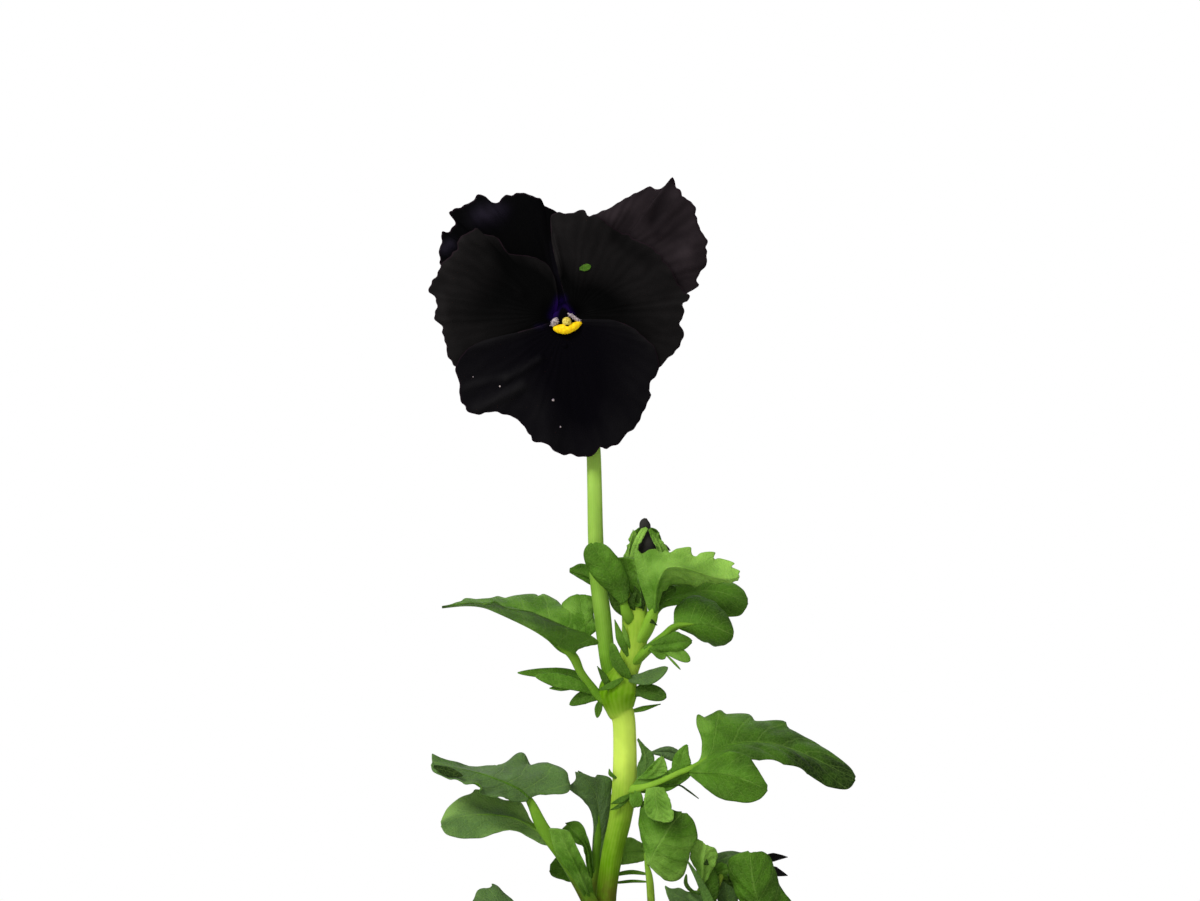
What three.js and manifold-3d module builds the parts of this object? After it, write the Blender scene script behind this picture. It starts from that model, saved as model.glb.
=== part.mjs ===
// A potted pansy: one dark flower on a long stalk above a leafy stem, with two closed buds, in a plain clay pot.
// Millimetres, +Z up. The origin is the centre of the pot's foot, and the flower faces -Y.
import * as THREE from "three";
import { mergeVertices } from "three/addons/utils/BufferGeometryUtils.js";
import Module from "manifold-3d";

const wasm = await Module();
wasm.setup();

// Clearances and sheet sizes
const GAP = 0.3;
const BLADE_THICKNESS = 0.6;
const PETAL_THICKNESS = 0.6;
const SIMPLIFY_WITHIN = 0.1;

// Clay pot
const POT_HEIGHT = 95;
const POT_RIM_RADIUS = 55;
const POT_FOOT_RADIUS = 35;
const POT_WALL = 5;
const POT_FLOOR = 6;
const RIM_BAND_HEIGHT = 22;
const RIM_BAND_STEP = 2.5;
const DRAIN_RADIUS = 7;
const POT_SEGMENTS = 40;

// Soil
const SOIL_TOP = 85;
const SOIL_MOUND = 2.5;
const STEM_DEPTH = 14;

// Flower
const THROAT = new THREE.Vector3(-11, 0, 244.4);
const HUB_RADIUS = 3.4;
const HUB_SQUASH = 0.8;
const HUB_DEPTH = 5.2;
const LAYER_STEP = 1.5;

const GREEN_STEM = 0xa6c45c;
const GREEN_LEAF = 0x4d7230;
const GREEN_DARK = 0x3d5c28;
const GREEN_BRIGHT = 0x689a36;

const leafMaterial = new THREE.MeshStandardMaterial({ color: GREEN_LEAF, roughness: 0.5, metalness: 0 });
const darkLeafMaterial = new THREE.MeshStandardMaterial({ color: GREEN_DARK, roughness: 0.5, metalness: 0 });
const brightLeafMaterial = new THREE.MeshStandardMaterial({ color: GREEN_BRIGHT, roughness: 0.5, metalness: 0 });
const stemMaterial = new THREE.MeshStandardMaterial({ color: GREEN_STEM, roughness: 0.45, metalness: 0 });
const petalMaterial = new THREE.MeshStandardMaterial({ color: 0x151316, roughness: 0.8, metalness: 0 });
const pistilMaterial = new THREE.MeshStandardMaterial({ color: 0xceba4c, roughness: 0.6, metalness: 0 });
const clayMaterial = new THREE.MeshStandardMaterial({ color: 0xb5633f, roughness: 0.9, metalness: 0 });
const soilMaterial = new THREE.MeshStandardMaterial({ color: 0x3a2a20, roughness: 1, metalness: 0 });

const plant = new THREE.Group();

function point([x, y, z]) {
  return new THREE.Vector3(x, y, z);
}

function smoothCurve(points) {
  return new THREE.CatmullRomCurve3(points.map(point), false, "catmullrom", 0.5);
}

// Joins shared vertices and drops triangles that have no area, which leaves one closed body.
function solidOf(geometry) {
  const bare = geometry.clone();
  bare.deleteAttribute("normal");
  bare.deleteAttribute("uv");
  const merged = mergeVertices(bare, 1e-4);
  const triangles = [];
  for (let i = 0; i < merged.index.count; i += 3) {
    const corners = [merged.index.getX(i), merged.index.getX(i + 1), merged.index.getX(i + 2)];
    if (new Set(corners).size === 3) triangles.push(...corners);
  }
  const mesh = new wasm.Mesh({
    numProp: 3,
    vertProperties: new Float32Array(merged.attributes.position.array),
    triVerts: new Uint32Array(triangles),
  });
  return new wasm.Manifold(mesh);
}

function geometryOf(solid) {
  const mesh = solid.getMesh();
  const geometry = new THREE.BufferGeometry();
  geometry.setAttribute("position", new THREE.BufferAttribute(mesh.vertProperties.slice(), 3));
  geometry.setIndex(new THREE.BufferAttribute(mesh.triVerts.slice(), 1));
  return geometry;
}

function join(solids) {
  return solids.reduce((whole, next) => whole.add(next));
}

function largestBody(solid) {
  return solid.decompose().sort((a, b) => b.volume() - a.volume())[0];
}

function addPiece(name, solid, material) {
  const mesh = new THREE.Mesh(geometryOf(solid.simplify(SIMPLIFY_WITHIN)), material);
  mesh.name = name;
  plant.add(mesh);
}

function cellNormal(grid, row, column) {
  const rows = grid.length - 1;
  const columns = grid[0].length - 1;
  const along = grid[Math.min(row + 1, rows)][column].clone().sub(grid[Math.max(row - 1, 0)][column]);
  const across = grid[row][Math.min(column + 1, columns)].clone().sub(grid[row][Math.max(column - 1, 0)]);
  return along.cross(across).normalize();
}

function shiftedAlongNormals(grid, amount) {
  return grid.map((line, row) =>
    line.map((place, column) => {
      return place.clone().addScaledVector(cellNormal(grid, row, column), amount(row, column));
    }),
  );
}

// Thickens a grid of points into a closed sheet. Both faces are split into triangles alike.
function sheetSolid(grid, thickness) {
  const rows = grid.length;
  const columns = grid[0].length;
  const faces = [
    shiftedAlongNormals(grid, () => thickness / 2),
    shiftedAlongNormals(grid, () => -thickness / 2),
  ];
  const positions = faces.flat(2).flatMap((place) => place.toArray());
  const size = rows * columns;
  const index = [];
  const quad = (a, b, c, d) => index.push(a, b, c, a, c, d);
  for (let r = 0; r < rows - 1; r += 1) {
    for (let c = 0; c < columns - 1; c += 1) {
      const a = r * columns + c;
      quad(a, a + columns, a + columns + 1, a + 1);
      index.push(size + a, size + a + columns + 1, size + a + columns);
      index.push(size + a, size + a + 1, size + a + columns + 1);
    }
  }
  const rim = [];
  for (let c = 0; c < columns; c += 1) rim.push(c);
  for (let r = 1; r < rows; r += 1) rim.push(r * columns + columns - 1);
  for (let c = columns - 2; c >= 0; c -= 1) rim.push((rows - 1) * columns + c);
  for (let r = rows - 2; r > 0; r -= 1) rim.push(r * columns);
  rim.forEach((from, i) => {
    const to = rim[(i + 1) % rim.length];
    quad(from, to, to + size, from + size);
  });
  const geometry = new THREE.BufferGeometry();
  geometry.setAttribute("position", new THREE.Float32BufferAttribute(positions, 3));
  geometry.setIndex(index);
  return solidOf(geometry);
}

// A tapered round stalk: path is a list of [x, y, z, radius].
function stalk(path, sides = 6, steps = path.length + 1, grow = 0) {
  const line = smoothCurve(path.map(([x, y, z]) => [x, y, z]));
  const swell = smoothCurve(path.map(([, , , radius], i) => [i, radius, 0]));
  const frames = [];
  let side = new THREE.Vector3(1, 0, 0);
  for (let i = 0; i <= steps; i += 1) {
    const t = i / steps;
    const forward = line.getTangent(t).normalize();
    side = side.clone().addScaledVector(forward, -side.dot(forward)).normalize();
    frames.push({ centre: line.getPoint(t), side, up: forward.clone().cross(side), radius: swell.getPoint(t).y + grow });
  }
  const positions = [];
  for (const { centre, side: across, up, radius } of frames) {
    for (let k = 0; k < sides; k += 1) {
      const turn = (2 * Math.PI * k) / sides;
      const place = centre
        .clone()
        .addScaledVector(across, radius * Math.cos(turn))
        .addScaledVector(up, radius * Math.sin(turn));
      positions.push(...place.toArray());
    }
  }
  const index = [];
  for (let i = 0; i < steps; i += 1) {
    for (let k = 0; k < sides; k += 1) {
      const a = i * sides + k;
      const b = i * sides + ((k + 1) % sides);
      index.push(a, b, b + sides, a, b + sides, a + sides);
    }
  }
  const last = steps * sides;
  for (let k = 1; k < sides - 1; k += 1) {
    index.push(0, k + 1, k);
    index.push(last, last + k, last + k + 1);
  }
  const geometry = new THREE.BufferGeometry();
  geometry.setAttribute("position", new THREE.Float32BufferAttribute(positions, 3));
  geometry.setIndex(index);
  return solidOf(geometry);
}

// How far into a tooth's notch the edge is, from 0 on the tooth to 1 in the notch. Teeth lean to the tip.
function notch(phase) {
  const within = phase - Math.floor(phase);
  return 1 - Math.sin(Math.PI * within ** 1.5) ** 0.6;
}

// A leaf blade is stretched between its rib and its two edges. Each rung is [edge, rib, edge] at one place
// along the rib, from the stalk to the tip. The edges are cut into round teeth, and the halves are crowned.
function blade({ rungs, teeth = 0, toothDepth = 1, crown = 0.6, columns = 2, rows = teeth ? teeth * 2 : 6 }) {
  const lines = [0, 1, 2].map((i) => smoothCurve(rungs.map((rung) => rung[i])));
  const stations = [];
  for (let i = 0; i <= rows; i += 1) stations.push(lines.map((line) => line.getPoint(i / rows)));
  const grid = stations.map(([left, rib, right], row) => {
    const fade = Math.min(1, 3 * Math.sin((Math.PI * row) / rows));
    const pull = teeth ? toothDepth * fade * notch((teeth * row) / rows) : 0;
    const line = [];
    for (let c = -columns; c <= columns; c += 1) {
      const share = Math.abs(c) / columns;
      const edge = c < 0 ? left : right;
      const reach = share * (1 - Math.min(0.45, pull / Math.max(edge.distanceTo(rib), 0.1)) * share ** 3);
      line.push(rib.clone().lerp(edge, reach));
    }
    return line;
  });
  const crowned = shiftedAlongNormals(grid, (row, column) => {
    const share = Math.abs(column - columns) / columns;
    return crown * 4 * share * (1 - share) * Math.sin((Math.PI * row) / rows);
  });
  return sheetSolid(crowned, BLADE_THICKNESS);
}

// A narrow lobe, such as a stipule: its rib runs through the points, and width is its full width at the middle.
function lobe(points, width, lean = [0, 0, 1], rows = 4) {
  const rib = smoothCurve(points);
  const rise = point(lean);
  const rungs = [];
  for (let i = 0; i <= rows; i += 1) {
    const t = i / rows;
    const across = rib.getTangent(t).cross(rise).cross(rib.getTangent(t)).normalize();
    const half = Math.max(0.35, (width / 2) * Math.sin(Math.PI * (0.12 + 0.83 * t)));
    const middle = rib.getPoint(t);
    const left = middle.clone().addScaledVector(across, -half);
    const right = middle.clone().addScaledVector(across, half);
    rungs.push([left.toArray(), middle.toArray(), right.toArray()]);
  }
  return blade({ rungs, rows, columns: 1, crown: 0 });
}

// Stems. Each path point is [x, y, z, radius].
const MAIN_STEM = [
  [0, 0, SOIL_TOP - STEM_DEPTH, 2.5],
  [-0.2, 0, 86, 2.5],
  [-1.4, 0, 98, 2.35],
  [-2.3, 0, 109, 2.5],
  [-1.9, 0, 118, 2.25],
  [-0.5, 0, 127, 2.35],
  [0.8, 0, 134, 2.5],
  [1.7, 0, 140.5, 2.75],
  [2.0, 0, 147, 2.5],
  [1.9, 0, 155, 2.35],
  [1.5, 0, 161, 3.0],
  [2.2, 0.2, 166, 2.4],
  [3.7, 0.3, 170.5, 2.1],
  [4.4, 0.4, 176, 2.2],
  [4.7, 0.5, 181, 1.7],
  [5.2, 0.9, 185, 1.1],
];
const RIGHT_STEM = [
  [9, 1, SOIL_TOP - STEM_DEPTH, 1.8],
  [10, 0.6, 88, 1.8],
  [12, 0, 97, 1.7],
  [14.6, -0.6, 105, 1.6],
  [16.6, -1, 112, 1.2],
  [17, -1.2, 117.5, 0.9],
];
const LEFT_STEM = [
  [-8, -1, SOIL_TOP - STEM_DEPTH, 1.7],
  [-8.8, -1.6, 88, 1.7],
  [-10.6, -3.4, 96, 1.6],
  [-12.6, -5, 102.5, 1.3],
];

const stemClear = stalk(MAIN_STEM, 8, 22, GAP);
const rightStemClear = stalk(RIGHT_STEM, 8, 7, GAP);
const leftStemClear = stalk(LEFT_STEM, 8, 5, GAP);

// Stipules at the two nodes of the main stem, each [points, width, lean].
const UPPER_STIPULES = [
  [[[2.6, -1, 164.2], [6, -4, 165.1], [8.6, -5, 165.9], [11.5, -5.5, 167.7]], 3.2, [0, 0.2, 1]],
  [[[3.4, -1, 164.6], [2.6, -3.6, 166.7], [0.6, -4.1, 169.3], [-0.5, -4, 173]], 2.2, [-1, 0, 0.2]],
  [[[3, -1.5, 161.6], [6, -2.6, 162.2], [8.6, -3.6, 161.9], [11.2, -4.4, 161]], 3.6, [0, 0.3, 1]],
  [[[3, 0, 157.6], [6.4, -0.4, 158.4], [10, -1, 159.4]], 1.2, [0, 0.3, 1]],
  [[[0, -1.8, 162], [-1.8, -2.4, 165], [-3.9, -2.4, 167.8]], 1.5, [1, 0, 0]],
  [[[2, -2.2, 165], [-0.6, -3.6, 163.8], [-3.7, -3.8, 162.7]], 1.4, [0, 0.2, 1]],
  [[[3, -1.2, 170], [1.8, -2.2, 173.5], [0.2, -2.6, 177]], 1.2, [1, 0.2, 0]],
];
const MIDDLE_STIPULES = [
  [[[3.4, -0.5, 142], [5.6, -0.8, 145.4], [6.8, -0.6, 148.2], [4.8, -0.2, 151.8]], 3.4, [1, 0, 0.2]],
  [[[3.4, -1.8, 140], [1.4, -3.2, 138.4], [-1.2, -3.2, 136.5]], 1.9, [0, 0.2, 1]],
];

function buildStems() {
  const stipules = [...UPPER_STIPULES, ...MIDDLE_STIPULES].map(([points, width, lean]) => lobe(points, width, lean));
  addPiece("main_stem", join([stalk(MAIN_STEM, 8, 22), ...stipules]), stemMaterial);
  addPiece("right_stem", stalk(RIGHT_STEM, 8, 7), stemMaterial);
  addPiece("left_stem", stalk(LEFT_STEM, 8, 5), stemMaterial);
}

// The flower's stalk leaves the upper node, rises behind the lower petal and hooks over to the calyx.
const FLOWER_STALK = [
  [0.6, 0.6, 162, 1.5],
  [-1.2, 0.9, 167, 1.4],
  [-2.1, 1.1, 173, 1.4],
  [-3.3, 1.8, 180, 1.55],
  [-4.2, 2.8, 188, 1.6],
  [-4.4, 3.8, 197, 1.6],
  [-4.5, 5, 207, 1.6],
  [-4.8, 7, 216, 1.55],
  [-5.8, 9.6, 226, 1.5],
  [-7.6, 12.2, 236, 1.45],
  [-9.4, 13.6, 242.4, 1.4],
  [-10.6, 12.2, 245.8, 1.35],
  [-11, 6.8, 245.2, 1.3],
];
const flowerStalkClear = stalk(FLOWER_STALK, 8, 18, GAP);

function buildFlowerStalk() {
  const bracts = [
    lobe([[-6.2, 10.6, 229.5], [-4.4, 11, 231], [-3.2, 11.6, 233.4]], 1.5, [0, 1, 0]),
    lobe([[-6.6, 11, 231.5], [-8, 12.4, 232.6], [-9, 13.4, 234.8]], 1.5, [0, 1, 0]),
  ];
  const whole = join([stalk(FLOWER_STALK, 8, 18), ...bracts]);
  addPiece("flower_stalk", whole.subtract(stemClear), stemMaterial);
}

// Leaves seen from the front. A leaf holds its blade, its stalk and the lobes that grow from its foot.
const LEAVES = [
  {
    name: "leaf_upper_left",
    material: leafMaterial,
    stalk: [[1, 0, 158.6, 1.3], [-3, -0.3, 160.6, 1.2], [-5.5, -0.3, 163.4, 1.15], [-7.6, 0, 166.3, 1.1], [-9.5, 0.3, 170, 1.2]],
    teeth: 6,
    toothDepth: 0.9,
    crown: -0.6,
    rungs: [
      [[-8.6, -0.8, 170.8], [-9.4, 0.3, 169.9], [-9, 1.4, 171]],
      [[-4.4, -5, 173.2], [-11.4, 0.8, 171.6], [-5.2, 6, 177]],
      [[-8, -9, 176], [-15, 1.2, 174], [-6.2, 12, 182.4]],
      [[-14.5, -10, 178.4], [-20, 1.5, 177], [-14.5, 13, 182.6]],
      [[-21, -9, 180.6], [-25, 1.5, 179.4], [-21.5, 12, 183]],
      [[-27, -6.6, 182.1], [-30, 0.8, 181.1], [-28.5, 8.5, 182.4]],
      [[-33, -3.6, 181.9], [-34.5, -0.4, 181.2], [-34, 3.4, 182]],
      [[-37.6, -2, 180.9], [-38, -1.4, 180.7], [-37.8, -0.8, 180.9]],
    ],
    lobes: [
      [[[-4, 0.4, 161.6], [-8.6, 3, 165.2], [-15, 4, 165.9], [-21.5, 3.4, 166]], 2.9, [0, 0.5, 1]],
      [[[-4.4, -0.2, 161.8], [-8.4, -2, 163.7], [-12.6, -2.6, 164.5], [-16.9, -2.8, 164.8]], 3.9, [0, 0.4, 1]],
      [[[-3.4, -0.2, 160.8], [-6.6, -0.8, 160.7], [-9.9, -1.2, 159.2]], 3, [0, 0.2, 1]],
      [[[-3, -0.4, 160.4], [-3.6, -1.2, 158.6], [-3.9, -1.6, 156.4]], 1.7, [1, 0.2, 0]],
    ],
  },
  {
    name: "leaf_upper_back",
    material: brightLeafMaterial,
    stalk: [[4.6, 1, 177, 0.9], [3.8, 3.4, 180.2, 0.8], [2, 5, 182.2, 0.7], [0.8, 5.5, 183, 0.5]],
    columns: 1,
    rungs: [
      [[1.8, 4.6, 181.2], [2, 4.9, 182.2], [2.2, 5.2, 183.2]],
      [[-1.6, 6.4, 182.8], [-2, 6.6, 184.6], [-2, 7, 187]],
      [[-5.8, 7.4, 185.4], [-6.2, 7.6, 187.3], [-6.6, 8, 190]],
      [[-9.7, 7.9, 187.7], [-10.1, 8, 188.5], [-9.8, 8.3, 189.3]],
    ],
  },
  {
    name: "leaf_oblong",
    material: leafMaterial,
    stalk: [[4.3, -0.2, 176.4, 0.9], [2.4, -3.2, 179.6, 0.9], [1.6, -4.2, 183, 0.6]],
    crown: -0.8,
    rungs: [
      [[1.2, -3.9, 181.4], [2, -3.9, 181.8], [2.8, -4, 182.4]],
      [[-1, -4.2, 183.8], [0.9, -4.4, 185.6], [3, -4.2, 186.4]],
      [[-4.2, -6, 187.6], [-1.6, -6.4, 189.2], [1.7, -6, 190.2]],
      [[-6.7, -7.2, 191], [-3.6, -7.4, 192.4], [-0.4, -7, 193.2]],
      [[-6.4, -7.6, 194.3], [-4.9, -7.7, 194.5], [-3, -7.5, 195]],
    ],
  },
  {
    name: "leaf_cupped",
    material: brightLeafMaterial,
    stalk: [[4.6, -0.4, 177.6, 0.8], [5, -2, 179.8, 0.7], [5.1, -2.5, 182, 0.5]],
    crown: 0.4,
    columns: 1,
    rungs: [
      [[4.4, -2.6, 180.8], [5.1, -2.3, 180.8], [5.8, -2.8, 181]],
      [[3.4, -2.9, 184.6], [4.2, -2, 184.8], [5.4, -3.4, 185]],
      [[1.8, -3.2, 188.4], [3.1, -2, 188.4], [4.7, -3.6, 188.4]],
      [[0.5, -3.6, 191.4], [2.3, -3, 191.6], [4.1, -3.8, 191.2]],
    ],
  },
  {
    name: "leaf_upper_right",
    material: brightLeafMaterial,
    stalk: [[4.8, -0.4, 173, 1.3], [7, -1.6, 176.4, 1.2], [8.5, -3.2, 180, 1.1]],
    teeth: 6,
    toothDepth: 1.3,
    crown: 0.5,
    rungs: [
      [[7.9, -3.4, 180], [8.7, -3.4, 179.6], [9.5, -2.8, 180]],
      [[5.8, -4.2, 185.6], [9.1, -5, 183.6], [10.4, -0.6, 183]],
      [[4.3, -4.6, 191], [9.9, -6.4, 187], [12, 1.4, 184.6]],
      [[8, -3.6, 193.6], [12, -7, 189.8], [15, 2.6, 185.2]],
      [[14, -2.6, 193.6], [16.4, -6.8, 189.4], [18, 3, 185.4]],
      [[20, -2, 193.4], [21, -5.6, 187.8], [21.6, 2, 185.5]],
      [[25.2, -2.4, 191.4], [25, -4.4, 187], [25, 0, 185.9]],
      [[27.2, -3.4, 189], [27.2, -3.6, 187.6], [26.9, -2.6, 186.4]],
    ],
  },
  {
    name: "leaf_right_back",
    material: darkLeafMaterial,
    stalk: [[5, 1, 173, 1], [7.4, 2.8, 177, 0.9], [9.6, 3.8, 180.4, 0.8]],
    crown: 0.8,
    rungs: [
      [[10, 3.4, 180.2], [9.5, 3.8, 180.5], [9.4, 4.4, 181.2]],
      [[13, 3.8, 181.1], [13, 6, 182.6], [13, 8.4, 185.2]],
      [[17.4, 4.4, 180.6], [18, 8, 183.8], [18.5, 11.4, 186.8]],
      [[21.4, 5, 179], [23.5, 8.6, 183.5], [24.2, 12, 186]],
      [[26, 5.6, 178.2], [27.5, 8, 182], [28.2, 10.4, 184.3]],
      [[28.8, 6.8, 179.6], [29.5, 7.4, 181.4], [29.4, 8, 182.8]],
    ],
  },
  {
    name: "leaf_right_round",
    material: leafMaterial,
    stalk: [[3.6, -0.6, 168, 1.2], [7.6, -3.2, 171.8, 1], [10.8, -3.4, 174.4, 0.95], [13.6, -2.6, 176.6, 0.9]],
    crown: 0.8,
    rungs: [
      [[13.5, -2.8, 176], [13, -2.5, 176.4], [12.9, -2, 177.4]],
      [[15.8, -2, 175.3], [15.6, -3, 177], [13.4, 0, 180.2]],
      [[18.4, -0.4, 174.2], [18.6, -3.6, 177.2], [16.4, 2.6, 182.8]],
      [[20.6, 1, 172.6], [21.5, -3.6, 176.6], [20.8, 2.8, 182.4]],
      [[23.4, 1.2, 172.1], [24.2, -2.8, 175.4], [24.6, 0.4, 178.8]],
      [[25.5, -0.6, 173.4], [25.9, -1.6, 174.6], [26, -1.4, 175.8]],
    ],
    blades: [
      {
        columns: 1,
        rungs: [
          [[6.6, -3.4, 171.2], [6.4, -3.4, 171.8], [6.6, -3.2, 172.4]],
          [[10.4, -5.2, 171.2], [10.6, -5, 172.6], [10.8, -4.4, 173.9]],
          [[14.2, -5.7, 171.4], [14.4, -6, 173.2], [14.4, -5.5, 174.9]],
          [[16.2, -5.9, 172.5], [16.6, -6, 173.2], [16.4, -5.8, 173.9]],
        ],
      },
    ],
    lobes: [
      [[[9, -4.8, 172.2], [13, -5.7, 171.1], [16.4, -6.1, 169.1]], 2.8, [0, 0.2, 1]],
      [[[7.6, -4, 171.8], [9.6, -5, 171], [10.9, -5.4, 169.6]], 2.6, [1, 0, 0.4]],
    ],
  },
  {
    name: "leaf_middle_left",
    material: leafMaterial,
    stalk: [[-2.2, -1, 110, 1.5], [-6.6, -4.4, 118.6, 1.4], [-11.3, -5.4, 126, 1.4], [-15.8, -5.6, 132.4, 1.4], [-18.3, -5.4, 137.6, 1.3], [-20.6, -5.6, 140.9, 0.9]],
    teeth: 6,
    toothDepth: 1.1,
    crown: 0.5,
    rungs: [
      [[-19.4, -6.4, 138.4], [-18.8, -5.3, 139.1], [-18, -4.8, 139.6]],
      [[-21.8, -9.2, 138.6], [-20.8, -5.8, 140.8], [-13.6, -5, 140]],
      [[-25, -12, 139.8], [-23.4, -6.4, 142.2], [-10.3, -3.6, 141.4]],
      [[-28.8, -13.4, 140.9], [-26.4, -7, 143.4], [-12.2, 1, 145.4]],
      [[-31.4, -13, 142.4], [-29.6, -7, 144.5], [-19.2, 6.4, 147]],
      [[-34.4, -11.6, 143.6], [-33, -7, 145.4], [-27, 4.8, 146]],
      [[-37, -9.4, 144.2], [-36.6, -6.8, 146.1], [-34, 1, 146.4]],
      [[-39.4, -7.4, 145.3], [-40, -6, 146.9], [-39.8, -4.6, 148.4]],
    ],
    blades: [
      {
        rungs: [
          [[-6, -4.4, 116.4], [-5.4, -4.2, 116.8], [-4.8, -4, 117.2]],
          [[-8.2, -7.6, 120.2], [-7, -7.8, 120.8], [-6, -7.4, 121.4]],
          [[-10.8, -8.8, 124.4], [-8.8, -9.2, 125], [-7, -8.8, 125.6]],
          [[-12.9, -9, 128.6], [-10.8, -9.4, 129], [-8.6, -9, 129.3]],
          [[-14.4, -9.2, 132.8], [-12.4, -9.5, 132.6], [-10.2, -9.2, 132.2]],
        ],
      },
    ],
  },
  {
    name: "leaf_low_left",
    material: leafMaterial,
    stalk: [[-2.4, 0.7, 107.5, 1.3], [-7.2, -0.2, 117.8, 1.2], [-12, -1.8, 126.2, 1.2], [-17, -2.2, 131.7, 1]],
    crown: 0.7,
    rungs: [
      [[-14.8, -2.8, 128.6], [-14.2, -2, 129.4], [-13.4, -1.4, 130.2]],
      [[-18, -3.6, 130.2], [-17.4, -2.2, 131.8], [-16.4, -0.6, 133.2]],
      [[-22, -5.4, 131.9], [-21.6, -3, 134.4], [-20.8, 0.2, 137.8]],
      [[-26, -7, 131.5], [-26, -4.2, 135.4], [-25.6, 1.4, 138.8]],
      [[-31, -8, 130.6], [-31, -5, 135.6], [-30.8, 1.4, 140.1]],
      [[-35.6, -8, 131], [-35.2, -5.8, 135], [-35.3, -1, 138.1]],
      [[-37.7, -7.2, 132.5], [-37.9, -6.8, 133.7], [-37.6, -5.6, 135]],
    ],
  },
  {
    name: "leaf_by_stem",
    material: darkLeafMaterial,
    stalk: [[-1.8, 1.4, 106, 1.1], [-4.3, 4, 117, 1.1], [-4.2, 4.4, 125, 1], [-3.8, 4, 130, 0.9]],
    crown: -0.5,
    rungs: [
      [[-4.7, 4, 128.6], [-3.9, 4.1, 128.6], [-3.1, 4.2, 128.6]],
      [[-5, 3.4, 134], [-3.6, 3.9, 134.4], [-1.6, 4.4, 134.6]],
      [[-6.8, 2.2, 138], [-4.2, 3, 138.8], [-0.8, 4, 139.2]],
      [[-9.8, 1.4, 141], [-5.6, 1.6, 141.5], [-0.8, 3.4, 142]],
      [[-8.8, 0.6, 144.1], [-6.2, 0.6, 143.6], [-3.2, 2.4, 143.4]],
    ],
    blades: [
      {
        columns: 1,
        rungs: [
          [[-5.4, 4, 118.6], [-4.8, 4.2, 119.4], [-4.2, 4.4, 120]],
          [[-6.3, 2.6, 123.6], [-5.6, 2.6, 123.6], [-4.9, 2.6, 123.6]],
          [[-6.9, 1.6, 127.3], [-6.1, 1.4, 127.2], [-5.3, 1.6, 127.2]],
          [[-9, 1.4, 128.7], [-7.7, 0.8, 129.8], [-6.1, 1.2, 130.2]],
          [[-11.6, 1.8, 131.6], [-10.5, 1.4, 132.8], [-8.6, 1.6, 133.5]],
        ],
      },
      {
        crown: 0.5,
        rungs: [
          [[-4, 4, 115.2], [-4.2, 4.2, 116.4], [-4.4, 4.4, 117.6]],
          [[-8.2, 5, 118.3], [-8.2, 6, 120.6], [-8.2, 6.8, 123.4]],
          [[-11.6, 5.6, 120.2], [-11.6, 7, 122.4], [-11.8, 7.6, 124.9]],
          [[-14, 6.2, 121], [-14.4, 6.4, 122.2], [-14.1, 6.8, 123.6]],
        ],
      },
    ],
  },
  {
    name: "leaf_bottom_left",
    material: leafMaterial,
    stalk: [[-12.2, -4.8, 101.6, 1.2], [-14, -6, 105.4, 1.1], [-17, -7.2, 109.2, 1]],
    rungs: [
      [[-16, -8.2, 107.4], [-16, -7, 108.4], [-16, -5.8, 109.4]],
      [[-19.6, -11, 109.6], [-19.6, -8, 111.4], [-18.8, -4, 113.6]],
      [[-23.4, -12.4, 110.6], [-23.6, -9.5, 113.4], [-22.6, -3, 117]],
      [[-27.4, -12.8, 111], [-27.8, -10, 114.4], [-27, -3, 120.2]],
      [[-31, -12, 111.4], [-31.4, -10.5, 114], [-30.6, -5, 118.8]],
      [[-32.8, -11.2, 112], [-33, -11, 112.8], [-32.8, -9, 114.8]],
    ],
  },
  {
    name: "leaf_middle_right",
    material: darkLeafMaterial,
    stalk: [[2.6, -1, 140.6, 1.3], [6.2, -3, 141.3, 1.2], [10, -3.8, 142.1, 1.15], [14, -4.2, 143.9, 1.1], [17.4, -4.2, 145.8, 1]],
    teeth: 6,
    toothDepth: 0.9,
    crown: 0.6,
    rungs: [
      [[17.4, -4.8, 145.2], [16.8, -4.2, 145.6], [17.2, -3.6, 146.3]],
      [[20.4, -6.6, 146.3], [19.6, -4.2, 147.3], [19.8, -1.6, 149.6]],
      [[23, -8.4, 147.3], [21.6, -3.8, 148.9], [18.2, 1.6, 155.6]],
      [[26, -9.6, 147.9], [24.2, -3.2, 150.1], [23, 4.6, 157.2]],
      [[30, -9.4, 147.7], [29.4, -2.2, 150.9], [30, 7.6, 156.2]],
      [[35.5, -8, 146.9], [36, -1.2, 150.2], [37.2, 7.8, 154.8]],
      [[41, -6, 144.8], [43, 0, 147.6], [44.2, 6, 150.6]],
      [[46.6, -4, 141.5], [49, -0.2, 144.6], [50.2, 2.8, 146.6]],
      [[51.2, -2.2, 141.2], [52.6, -1, 142.9], [52.6, 0, 143.9]],
    ],
    blades: [
      {
        crown: 0.8,
        rungs: [
          [[16.6, -4.6, 145.5], [16.4, -5, 144.8], [16.2, -5, 144.1]],
          [[20.4, -7.6, 146.9], [20, -8.6, 144.5], [18.8, -8.4, 141.8]],
          [[25, -11.6, 148.3], [24.4, -11.8, 144], [22.6, -10.6, 139.1]],
          [[29.2, -12.6, 147.2], [28.5, -13, 142.8], [27, -11.6, 138]],
          [[31.8, -12.2, 144.2], [31.3, -12.4, 141.5], [30.6, -11.6, 138.4]],
          [[33, -11.8, 141.8], [32.9, -11.9, 140.9], [32.6, -11.6, 140]],
        ],
      },
      {
        columns: 1,
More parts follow.
